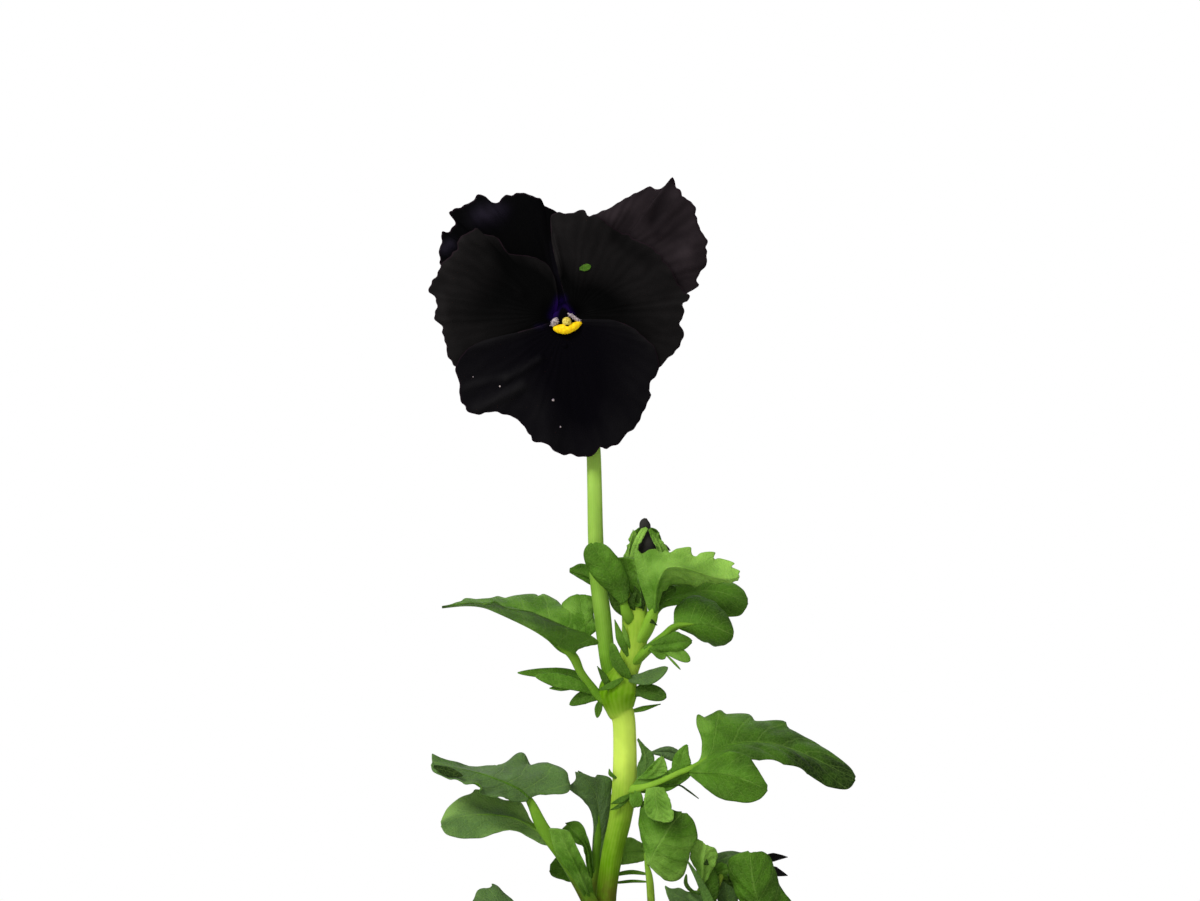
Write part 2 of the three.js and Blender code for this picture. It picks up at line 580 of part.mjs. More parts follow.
        rungs: [
          [[12.6, -3.8, 143.4], [13.6, -4, 143.8], [14.8, -4.2, 144.4]],
          [[12.8, -3.2, 146.9], [14.2, -3.6, 147], [16, -4, 146.8]],
          [[14.2, -2.8, 149.3], [15, -3, 149.4], [16, -3.2, 149.1]],
          [[15.5, -2.6, 150.5], [15.8, -2.7, 150.5], [16.1, -2.8, 150.4]],
        ],
      },
      {
        columns: 1,
        rungs: [
          [[6.4, -3.2, 142.2], [7.2, -3.4, 141.8], [8.4, -3.6, 142]],
          [[7.7, -3.4, 145.5], [9, -3.8, 145], [10.9, -3.8, 144.6]],
          [[9.5, -3.2, 147.5], [10, -3.4, 147.1], [11.1, -3.5, 146.5]],
          [[10, -3.2, 148.1], [10.3, -3.2, 148.1], [10.6, -3.3, 147.9]],
        ],
      },
      {
        crown: -0.5,
        rungs: [
          [[6.8, -4, 140.6], [8.6, -4.2, 141], [10.2, -4.4, 141.2]],
          [[6.4, -6.2, 138.6], [8.8, -6.8, 138.6], [11.6, -6.4, 139]],
          [[6.6, -7.8, 136.3], [9.4, -8.4, 136], [12.6, -8, 136.5]],
          [[8.2, -8.4, 134.7], [10.4, -8.8, 134.5], [12.6, -8.6, 134.7]],
          [[10.6, -8.6, 134], [11.4, -8.8, 133.8], [12.1, -8.7, 133.9]],
        ],
      },
      {
        columns: 1,
        rungs: [
          [[14.2, -3.4, 148.8], [13.7, -3.5, 148], [13.2, -3.6, 147.2]],
          [[12.2, -2.6, 150.1], [12, -2.8, 149.3], [11.8, -3, 148]],
          [[10.2, -2, 149.8], [10.1, -2.3, 149.2], [10, -2.6, 148.4]],
          [[8.7, -1.8, 149.3], [8.8, -2, 148.9], [8.9, -2.1, 148.5]],
        ],
      },
    ],
    lobes: [[[[5, -2.8, 141], [4.9, -4, 139], [4.7, -4.4, 136.6]], 2.6, [1, 0, 0]]],
  },
  {
    name: "leaf_low_front",
    material: leafMaterial,
    stalk: [[11.4, -0.6, 95, 0.9], [9, -4.6, 104, 0.85], [8, -5.4, 114, 0.85], [7.4, -5.4, 125, 0.8]],
    teeth: 5,
    toothDepth: 0.8,
    crown: -0.7,
    rungs: [
      [[7, -5.1, 124.4], [7.4, -5.3, 124.4], [8.5, -5.1, 123.8]],
      [[6, -4.4, 129], [8.7, -6, 127], [12, -4.4, 120.6]],
      [[5.2, -3.8, 133], [10.2, -6.4, 129.6], [15.8, -3.8, 123]],
      [[5.8, -3.6, 137.8], [11.7, -6.2, 132], [17.8, -3.8, 128.2]],
      [[9.6, -3.8, 139], [13.2, -5.6, 134], [18.2, -4, 131.8]],
      [[13.4, -4.6, 136.3], [14.7, -5, 135.4], [16.6, -4.7, 135.4]],
    ],
  },
  {
    name: "leaf_low_yellow",
    material: brightLeafMaterial,
    stalk: [[16.4, -0.8, 111, 1.1], [17, -1.2, 116, 0.9], [17.6, -1.4, 120, 0.7]],
    columns: 1,
    rungs: [
      [[16.4, -1, 118.6], [17.4, -1.3, 118.4], [18.4, -1.2, 118.2]],
      [[15.8, -0.8, 122.6], [18.2, -1.8, 122], [20.8, -1.2, 121.6]],
      [[16.4, -0.8, 126.8], [19, -2.2, 125.4], [22.4, -1.2, 125]],
      [[18.2, -1.2, 129.7], [19.8, -2, 128.2], [21.8, -1.4, 127.8]],
    ],
  },
  {
    name: "leaf_low_right",
    material: brightLeafMaterial,
    stalk: [[13, -0.6, 100, 1.2], [21, -3, 98.6, 1.1], [29, -4.6, 100.4, 1.1], [33, -5.2, 105.6, 1]],
    teeth: 5,
    toothDepth: 0.9,
    crown: -0.8,
    rungs: [
      [[32, -4.8, 104.4], [33, -5.1, 104.2], [34, -4.8, 104.4]],
      [[27.8, -4.6, 109], [32.3, -6.6, 109.8], [38.8, -4.4, 109.2]],
      [[27, -4.8, 115.4], [31.2, -7.4, 115.6], [39.4, -4.4, 115.6]],
      [[25.2, -5.2, 120.2], [30.2, -8, 120.4], [36.4, -4.8, 120.4]],
      [[24.7, -5.8, 124.2], [29.6, -8.2, 124.2], [34.8, -5.4, 124.8]],
      [[26.4, -6.6, 127.2], [29.4, -7.8, 127.2], [32.8, -6.4, 127.1]],
    ],
  },
  {
    name: "leaf_low_middle",
    material: leafMaterial,
    stalk: [[13.8, -0.8, 103, 1.1], [18.6, -2.6, 105.4, 1], [24.6, -3, 109.4, 0.9], [24, -3.8, 111.4, 0.7]],
    crown: 0.6,
    rungs: [
      [[25.2, -4.2, 109.4], [25, -3.4, 110.4], [24.6, -2.6, 111.4]],
      [[21.6, -7, 110], [22, -4.6, 113.4], [21.6, -2.6, 116.6]],
      [[16.8, -9, 111.6], [17, -6, 116], [17, -3.4, 118.7]],
      [[13, -9.4, 114.8], [13.6, -7.8, 117.8], [13.6, -5.4, 119.6]],
      [[11.3, -8.8, 118.4], [11.2, -8.4, 119.4], [11.2, -7.8, 120]],
    ],
    lobes: [[[[21.4, -4.6, 113.4], [18.8, -5.6, 118.4], [16.8, -5.6, 120.4], [15.2, -5.4, 122.6]], 1.3, [1, 0, 0.4]]],
  },
  {
    name: "leaf_behind_stem",
    material: darkLeafMaterial,
    stalk: [[-1.7, 1.2, 118.6, 1], [-0.6, 3, 121.6, 0.9], [1.8, 4.6, 126.2, 0.6]],
    crown: 0.4,
    columns: 1,
    rungs: [
      [[1, 4, 123.5], [0.9, 4.2, 126], [1.2, 4.6, 128.8]],
      [[3.6, 4.4, 123.8], [3.2, 4.8, 126.6], [3.2, 5.4, 129.5]],
      [[6.2, 4.6, 124.4], [5.8, 5, 126.4], [5.6, 5.4, 128.3]],
      [[7.7, 4.8, 125.6], [7.9, 4.9, 126.1], [7.6, 5, 126.7]],
    ],
    lobes: [
      [[[-1, 2.4, 121], [1.2, 3, 121.7], [4, 3.4, 122], [7.4, 3.6, 121.5]], 1.3, [0, 0, 1]],
      [[[-1.4, 2, 119.6], [1.2, 3, 119.8], [4, 3.5, 120], [7.6, 3.8, 119.8]], 1, [0, 0, 1]],
    ],
  },
];

function buildLeaf(leaf) {
  const { stalk: stalkPath, lobes = [], blades = [], name, material, ...main } = leaf;
  const parts = [
    stalk(stalkPath, 8),
    blade(main),
    ...blades.map(blade),
    ...lobes.map(([points, width, lean]) => lobe(points, width, lean)),
  ];
  const whole = join(parts).subtract(stemClear).subtract(rightStemClear).subtract(leftStemClear);
  addPiece(name, largestBody(whole), material);
}

// The low leaves that hide the foot of the plant: [bearing in degrees, foot height, reach, length, width, droop].
const LOW_LEAVES = [
  [97, 91, 15, 26, 18, 5],
  [62, 95, 17, 25, 17, 5],
  [29, 91, 18, 27, 17, 5],
  [132, 95, 16, 26, 17, 5],
  [167, 91, 16, 26, 17, 5],
  [-66, 95, 16, 27, 17, 5],
  [-104, 91, 16, 26, 18, 5],
  [-145, 94, 17, 26, 17, 5],
  [-32, 91, 18, 26, 15, 5],
];
const LOW_LEAF_CENTRE = -0.9;
const LOW_LEAF_RISE = 11;

function lowLeaf([bearing, foot, reach, length, width, droop]) {
  const turn = THREE.MathUtils.degToRad(bearing);
  const place = (out, side, up) => [
    LOW_LEAF_CENTRE + out * Math.cos(turn) - side * Math.sin(turn),
    out * Math.sin(turn) + side * Math.cos(turn),
    foot + up,
  ];
  const rise = LOW_LEAF_RISE;
  const rungs = [];
  const stations = [[0, 0.1], [0.16, 0.72], [0.38, 1], [0.62, 0.96], [0.85, 0.62], [1, 0.14]];
  for (const [t, share] of stations) {
    const out = reach + length * t;
    const up = rise + 2.5 * Math.sin(Math.PI * Math.min(1, t + 0.25)) - droop * t * t;
    const half = (width / 2) * share;
    rungs.push([place(out, half, up + 0.22 * half), place(out, 0, up), place(out, -half, up + 0.22 * half)]);
  }
  return {
    stalk: [
      [...place(1.8, 0, -0.6), 1.2],
      [...place(reach * 0.5, 0, rise * 0.62), 1.2],
      [...place(reach + 1.5, 0, rise + 1.7), 1],
    ],
    crown: 0.7,
    rows: 5,
    rungs,
  };
}

function buildLeaves() {
  LEAVES.forEach(buildLeaf);
  LOW_LEAVES.forEach((row, i) => {
    buildLeaf({ name: `low_leaf_${i + 1}`, material: i % 2 ? leafMaterial : darkLeafMaterial, ...lowLeaf(row) });
  });
}

// Petals. Each margin is a list of [x, z] places round the petal, seen from the front. Layers lie one behind
// another, so that the lower petal is in front and the upper left petal at the back.
const PETALS = [
  {
    name: "petal_lower",
    layer: -1,
    claw: [-11, 242],
    ruffles: 7,
    ruffle: 1.4,
    margin: [
      [-14, 243.2], [-20, 242], [-27, 240.4], [-33, 237.4], [-35.2, 233.4], [-34.3, 228], [-33, 224.4],
      [-30, 222.9], [-25, 223.3], [-21.2, 221.8], [-18.4, 217.2], [-15, 216.5], [-12.4, 214.4], [-8, 214],
      [-5, 213.6], [-2.8, 215.7], [1, 216.8], [4.6, 220.6], [6.8, 224], [8, 227.4], [7.7, 229.2], [9.2, 232],
      [9.2, 236], [7, 240], [2.4, 242.8], [-3, 243.9], [-8.4, 244],
    ],
  },
  {
    name: "petal_side_right",
    layer: 0,
    claw: [-9.2, 244.8],
    ruffles: 6,
    ruffle: 1.1,
    margin: [
      [-7.6, 241.6], [-1, 238], [4, 234.6], [9, 233.2], [12.4, 235.8], [14.9, 239.6], [14.8, 243],
      [15.1, 246.8], [16.2, 249.2], [14, 252.6], [11.6, 256.4], [8.6, 259.6], [3, 262.6], [-2, 265.6],
      [-7, 268.1], [-10.4, 267.2], [-13.8, 267.2], [-14.1, 262.6], [-13.3, 258], [-12, 252.6], [-10.9, 248],
    ],
  },
  {
    name: "petal_side_left",
    layer: 0,
    claw: [-13, 244.8],
    ruffles: 6,
    ruffle: 1.1,
    margin: [
      [-13, 248], [-15, 252.6], [-18.4, 256.6], [-23, 259.8], [-27, 262.6], [-30.8, 263.8], [-34, 262],
      [-35.2, 259.2], [-38.2, 255.6], [-41, 250.6], [-39.4, 247.8], [-40, 244.2], [-38, 241.8], [-37, 237.4],
      [-34.6, 234.2], [-29, 234.4], [-22, 238], [-16, 242],
    ],
  },
  {
    name: "petal_upper_right",
    layer: 1,
    claw: [-9.8, 246.4],
    ruffles: 6,
    ruffle: 1.3,
    margin: [
      [-6.4, 245.8], [4, 246.6], [12, 248.2], [17.6, 251], [19, 254.2], [20.4, 258.4], [20, 262],
      [18, 266], [17.4, 269.6], [15, 271], [13, 275.6], [10.6, 273.6], [7.6, 273.3], [2, 270.6],
      [-4, 267.2], [-8.4, 265], [-10, 259], [-10.4, 252],
    ],
  },
  {
    name: "petal_upper_left",
    layer: 2,
    claw: [-12.4, 246.4],
    ruffles: 7,
    ruffle: 1.3,
    margin: [
      [-10, 251], [-8, 257], [-8.4, 263], [-12, 267.4], [-15.6, 269], [-18, 271.4], [-22, 272], [-25, 270.6],
      [-27.2, 269.8], [-29.4, 271.7], [-32.8, 269.5], [-36.4, 268.2], [-35.6, 265], [-38.3, 263.6],
      [-38.6, 259.6], [-37.6, 256], [-31, 252.4], [-22, 248.8], [-15.6, 246.6],
    ],
  },
];
const PETAL_STEPS_ROUND = 20;
const PETAL_STEPS_OUT = 4;
const CLAW_RADIUS = 0.9;
const CLAW_REACH = 5;
const PETAL_RECURVE = 0.003;

// How far back the claw's end lies, just in front of the hub that it grows from.
function clawDepth([x, z]) {
  const distance = Math.hypot(x - THROAT.x, z - THROAT.z);
  const hubFace = HUB_DEPTH - HUB_SQUASH * Math.sqrt(HUB_RADIUS ** 2 - distance ** 2);
  return hubFace - 0.8 * GAP - PETAL_THICKNESS / 2;
}

function petalPlace(petal, edge, u, step) {
  const rim = edge.getPointAt(u);
  const start = CLAW_RADIUS / Math.hypot(rim.x - petal.claw[0], rim.z - petal.claw[1]);
  const out = THREE.MathUtils.lerp(start, 1, step);
  const x = THREE.MathUtils.lerp(petal.claw[0], rim.x, out);
  const z = THREE.MathUtils.lerp(petal.claw[1], rim.z, out);
  const distance = Math.hypot(x - THROAT.x, z - THROAT.z);
  const wave = 0.5 + 0.5 * Math.sin(2 * Math.PI * petal.ruffles * u);
  const free = Math.sin(Math.PI * u);
  const reach = Math.hypot(x - petal.claw[0], z - petal.claw[1]);
  const bend = Math.max(0, 1 - reach / CLAW_REACH) ** 2;
  const open = petal.layer * LAYER_STEP + PETAL_RECURVE * distance ** 2;
  const y = THREE.MathUtils.lerp(open, clawDepth(petal.claw), bend) - petal.ruffle * wave * free * out ** 4;
  return new THREE.Vector3(x, y, z);
}

function buildPetal(petal) {
  const edge = smoothCurve(petal.margin.map(([x, z]) => [x, 0, z]));
  const grid = [];
  for (let r = 0; r <= PETAL_STEPS_ROUND; r += 1) {
    const line = [];
    for (let c = 0; c <= PETAL_STEPS_OUT; c += 1) {
      line.push(petalPlace(petal, edge, r / PETAL_STEPS_ROUND, c / PETAL_STEPS_OUT));
    }
    grid.push(line);
  }
  const parts = [sheetSolid(grid, PETAL_THICKNESS)];
  if (petal.name === "petal_lower") {
    parts.push(stalk([[-11, -1.2, 238.4, 0.9], [-11, 3, 237.4, 1.1], [-11, 7, 237, 1.2], [-11, 11.5, 237, 0.8]]));
  }
  addPiece(petal.name, join(parts), petalMaterial);
}

function ball(centre, radius, squash = 1, sides = 8) {
  const geometry = new THREE.SphereGeometry(radius, sides, sides * 0.75);
  geometry.scale(1, squash, 1);
  geometry.translate(...centre);
  return solidOf(geometry);
}

function buildFlower() {
  PETALS.forEach(buildPetal);
  const hub = ball([THROAT.x, HUB_DEPTH, THROAT.z], HUB_RADIUS, HUB_SQUASH, 12);
  const sepals = [90, 162, 234, 306, 18].map((bearing) => {
    const turn = THREE.MathUtils.degToRad(bearing);
    const place = (out, depth) => [THROAT.x + out * Math.cos(turn), depth, THROAT.z + out * Math.sin(turn)];
    const across = [-Math.sin(turn), 0, Math.cos(turn)];
    return lobe([place(-1, 6.6), place(3, 6.6), place(8, 6.8), place(13, 8.4)], 4, across, 3);
  });
  addPiece("flower_calyx", join([hub, ...sepals]).subtract(flowerStalkClear), leafMaterial);
  const hubFront = HUB_DEPTH - HUB_SQUASH * HUB_RADIUS;
  const style = stalk([[THROAT.x, hubFront - GAP, THROAT.z, 0.5], [THROAT.x, -0.6, THROAT.z, 0.5]], 6, 2);
  addPiece("pistil", style.add(ball([THROAT.x, -1, THROAT.z], 1, 0.9)), pistilMaterial);
}

// A closed bud: petals rolled to a point, held in five sepals on a short stalk.
function buildBud(name, { foot, tip, radius, sepalReach, stem }, avoid) {
  const from = point(foot);
  const axis = point(tip).sub(from);
  const side = new THREE.Vector3(0, 1, 0).cross(axis).normalize();
  const other = axis.clone().normalize().cross(side);
  const along = (share) => from.clone().addScaledVector(axis, share);
  const profile = [[0, 0.35], [0.2, 0.85], [0.45, 1], [0.7, 0.72], [0.88, 0.4], [1, 0.12]];
  const path = profile.map(([share, size]) => [...along(share).toArray(), radius * size]);
  const petals = stalk(path, 8, 8);
  const petalsClear = stalk(path, 8, 8, GAP);
  const sepals = [0, 72, 144, 216, 288].map((bearing) => {
    const turn = THREE.MathUtils.degToRad(bearing - 90);
    const out = side.clone().multiplyScalar(Math.cos(turn)).addScaledVector(other, Math.sin(turn));
    const across = axis.clone().cross(out).normalize();
    const place = (share, size) => along(share).addScaledVector(out, size * radius).toArray();
    const points = [place(-0.06, 0.2), place(0.14, 1.15), place(0.45, 1.38), place(sepalReach, 1.2)];
    return lobe(points, radius * 1.4, across.toArray(), 3);
  });
  const neck = along(-0.06);
  const seat = ball(neck.toArray(), radius * 0.45);
  const calyx = join([seat, stalk([...stem, [...neck.toArray(), 0.8]]), ...sepals]).subtract(petalsClear);
  addPiece(`${name}_petals`, petals, petalMaterial);
  const clear = avoid.reduce((whole, next) => whole.subtract(next), calyx);
  addPiece(`${name}_calyx`, largestBody(clear), leafMaterial);
}

function buildBuds() {
  buildBud("top_bud", {
    foot: [7.1, 2.2, 190.4],
    tip: [6.9, 1.6, 200.4],
    radius: 2.5,
    sepalReach: 0.78,
    stem: [[5.6, 2.2, 182.6, 0.9], [6.6, 2.6, 186.4, 0.8]],
  }, [stemClear]);
  buildBud("low_bud", {
    foot: [24.6, 3.6, 122.6],
    tip: [38, 3, 124.4],
    radius: 4.2,
    sepalReach: 0.62,
    stem: [[13.6, 0.4, 101, 1], [18, 1.4, 106, 1], [21.4, 3.8, 112, 0.9], [22.4, 4, 118, 0.9]],
  }, [rightStemClear]);
}

function buildPot() {
  const bandFoot = POT_HEIGHT - RIM_BAND_HEIGHT;
  const shoulder = POT_RIM_RADIUS - RIM_BAND_STEP;
  const outline = [
    [DRAIN_RADIUS, 0],
    [POT_FOOT_RADIUS, 0],
    [shoulder - 4, bandFoot],
    [POT_RIM_RADIUS - 1, bandFoot],
    [POT_RIM_RADIUS, POT_HEIGHT - 1],
    [POT_RIM_RADIUS - 1, POT_HEIGHT],
    [POT_RIM_RADIUS - POT_WALL, POT_HEIGHT],
    [shoulder - 4 - POT_WALL, bandFoot - 4],
    [POT_FOOT_RADIUS - POT_WALL, POT_FLOOR],
    [DRAIN_RADIUS, POT_FLOOR],
    [DRAIN_RADIUS, 0],
  ];
  const lathe = new THREE.LatheGeometry(outline.map(([r, z]) => new THREE.Vector2(r, z)), POT_SEGMENTS);
  lathe.rotateX(Math.PI / 2);
  addPiece("pot", solidOf(lathe), clayMaterial);
}

// The pot's inner radius at a height, from the two straight stretches of its inner wall.
function innerRadius(height) {
  const bandFoot = POT_HEIGHT - RIM_BAND_HEIGHT;
  const low = [POT_FOOT_RADIUS - POT_WALL, POT_FLOOR];
  const mid = [POT_RIM_RADIUS - RIM_BAND_STEP - 4 - POT_WALL, bandFoot - 4];
  const high = [POT_RIM_RADIUS - POT_WALL, POT_HEIGHT];
  const [from, to] = height < mid[1] ? [low, mid] : [mid, high];
  return THREE.MathUtils.mapLinear(height, from[1], to[1], from[0], to[0]);
}

function buildSoil() {
  const facetLoss = 1 / Math.cos(Math.PI / POT_SEGMENTS);
  const at = (height) => innerRadius(height) - GAP * facetLoss;
  const bandFoot = POT_HEIGHT - RIM_BAND_HEIGHT - 4;
  const outline = [
    [0, POT_FLOOR + GAP],
    [at(POT_FLOOR) - GAP, POT_FLOOR + GAP],
    [at(bandFoot), bandFoot],
    [at(SOIL_TOP), SOIL_TOP],
    [at(SOIL_TOP) * 0.55, SOIL_TOP + SOIL_MOUND * 0.8],
    [0, SOIL_TOP + SOIL_MOUND],
  ];
  const lathe = new THREE.LatheGeometry(outline.map(([r, z]) => new THREE.Vector2(r, z)), POT_SEGMENTS);
  lathe.rotateX(Math.PI / 2);
  const soil = solidOf(lathe);
  const holes = [stemClear, rightStemClear, leftStemClear];
  addPiece("soil", holes.reduce((whole, hole) => whole.subtract(hole), soil), soilMaterial);
}

buildPot();
buildSoil();
buildStems();
buildFlowerStalk();
buildFlower();
buildBuds();
buildLeaves();

export default plant;
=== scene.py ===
"""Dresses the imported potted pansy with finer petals, leaves, stems and pot, and with their finishes.

Shapes are written in millimetres, in the part's own frame (+Z up, the flower faces -Y), and turned to
metres when a mesh is made.
"""

import logging
import math
from collections.abc import Callable, Sequence
from dataclasses import dataclass, field
from enum import Enum

import bpy
import numpy as np
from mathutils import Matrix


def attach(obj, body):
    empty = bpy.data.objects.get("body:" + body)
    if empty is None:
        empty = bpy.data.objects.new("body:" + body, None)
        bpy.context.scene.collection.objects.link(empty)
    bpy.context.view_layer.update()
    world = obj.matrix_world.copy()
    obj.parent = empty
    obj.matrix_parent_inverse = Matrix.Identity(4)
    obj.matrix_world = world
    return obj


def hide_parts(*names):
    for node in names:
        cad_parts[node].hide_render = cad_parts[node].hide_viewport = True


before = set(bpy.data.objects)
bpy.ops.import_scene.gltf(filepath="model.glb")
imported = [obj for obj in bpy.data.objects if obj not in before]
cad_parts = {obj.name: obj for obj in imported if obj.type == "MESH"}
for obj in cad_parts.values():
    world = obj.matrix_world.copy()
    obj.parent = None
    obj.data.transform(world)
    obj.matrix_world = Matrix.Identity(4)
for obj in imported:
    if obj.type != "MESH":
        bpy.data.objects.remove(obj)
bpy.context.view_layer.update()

MM = 0.001
FULL_TURN = 2 * math.pi

# Steps between two points of a curve: for measuring its length, and for the rings of a stalk.
FINE_STEPS = 24
RING_STEPS = 8
# The thinnest radius of a stalk, and the length in mm that the flat map shows as 1.
THINNEST = 0.02
MAP_LENGTH = 100
# The way that the upper side of a leaf faces.
FORWARDS_AND_UP = np.array([0.0, -1.0, 0.6])
# How many side veins a blade has on either side of its rib, and how far they lean to the tip.
SIDE_VEINS = 7
VEIN_LEAN = 0.24

log = logging.getLogger("pansy")

# A stalk's rows hold x, y, z, radius and, where that changes along it, how pale it is.
Place = tuple[float, float]
Point = tuple[float, float, float]
Path = Sequence[Point]
Stalk = Sequence[tuple[float, ...]]
Faces = list[tuple[int, ...]]
Marks = dict[str, np.ndarray]
Finishes = dict[str, bpy.types.Material]
Tree = bpy.types.NodeTree
Node = bpy.types.Node
Socket = bpy.types.NodeSocket


class Tissue(Enum):
    """Which of a piece's finishes a patch takes, by its place in the piece's list of materials."""

    FLESH = 0
    STALK = 1
    HOLLOW = 2


# Curves and sheets


def through(points: Sequence[Sequence[float]], places: np.ndarray) -> np.ndarray:
    """Samples the smooth curve through some points.

    Args:
        points: the points that the curve passes through.
        places: where to sample, from 0 to 1, with even steps from each point to the next.

    Returns:
        One row for each place.
    """
    known = np.asarray(points, float)
    padded = np.vstack([2 * known[0] - known[1], known, 2 * known[-1] - known[-2]])
    scaled = np.clip(places, 0, 1) * (len(known) - 1)
    first = np.minimum(scaled.astype(int), len(known) - 2)
    part = (scaled - first)[:, None]
    a, b, c, d = (padded[first + k] for k in range(4))
    return b + 0.5 * part * (c - a + part * (2 * a - 5 * b + 4 * c - d + part * (3 * (b - c) + d - a)))


def run_of(line: np.ndarray) -> np.ndarray:
    """Says how far along a sampled line each sample lies."""
    return np.concatenate([[0], np.cumsum(np.linalg.norm(np.diff(line, axis=0), axis=1))])


def evenly_through(points: Sequence[Sequence[float]], count: int) -> np.ndarray:
    """Samples the smooth curve through some points at even steps of length.

    Args:
        points: the points that the curve passes through.
        count: how many samples to take.

    Returns:
        One row for each sample.
    """
    fine = through(points, np.linspace(0, 1, len(points) * FINE_STEPS))
    run = run_of(fine)
    stops = np.linspace(0, run[-1], count)
    return np.stack([np.interp(stops, run, fine[:, k]) for k in range(fine.shape[1])], axis=1)


def smoothed(line: np.ndarray, reach: int) -> np.ndarray:
    """Smooths a sampled line over up to so many neighbours on either side, and keeps its ends.

    Args:
        line: the line's points, one a row.
        reach: how many neighbours count on either side.

    Returns:
        The smoothed line.
    """
    total = np.vstack([np.zeros(line.shape[1]), np.cumsum(line, axis=0)])
    place = np.arange(len(line))
    half = np.minimum(reach, np.minimum(place, len(line) - 1 - place))
    return (total[place + half + 1] - total[place - half]) / (2 * half + 1)[:, None]


def unit(rows: np.ndarray) -> np.ndarray:
    """Gives each row the length 1."""
    return rows / np.linalg.norm(rows, axis=1, keepdims=True)


def grid_normals(grid: np.ndarray) -> np.ndarray:
    """Gives the unit normal at each point of a grid of points."""
    normals = np.cross(np.gradient(grid, axis=0), np.gradient(grid, axis=1))
    return normals / np.maximum(np.linalg.norm(normals, axis=2, keepdims=True), 1e-9)


def smooth_noise(places: np.ndarray, waves: int, seed: int) -> np.ndarray:
    """Gives a smooth random line between about -1 and 1.

    Args:
        places: where to sample, from 0 to 1.
        waves: about how many ups and downs the line has.
        seed: which line to draw.

    Returns:
        One value for each place.
    """
    draw = np.random.default_rng(seed)
    total = np.zeros_like(places)
    for share in (0.45, 0.7, 1.0, 1.35):
        total += np.sin(FULL_TURN * waves * share * places + draw.uniform(0, FULL_TURN))
    return total / 3


def as_faces(*corners: np.ndarray) -> Faces:
    """Joins grids of corner numbers, one grid for each corner of a face, into faces."""
    return [tuple(face) for face in np.stack(corners, axis=-1).reshape(-1, len(corners)).tolist()]


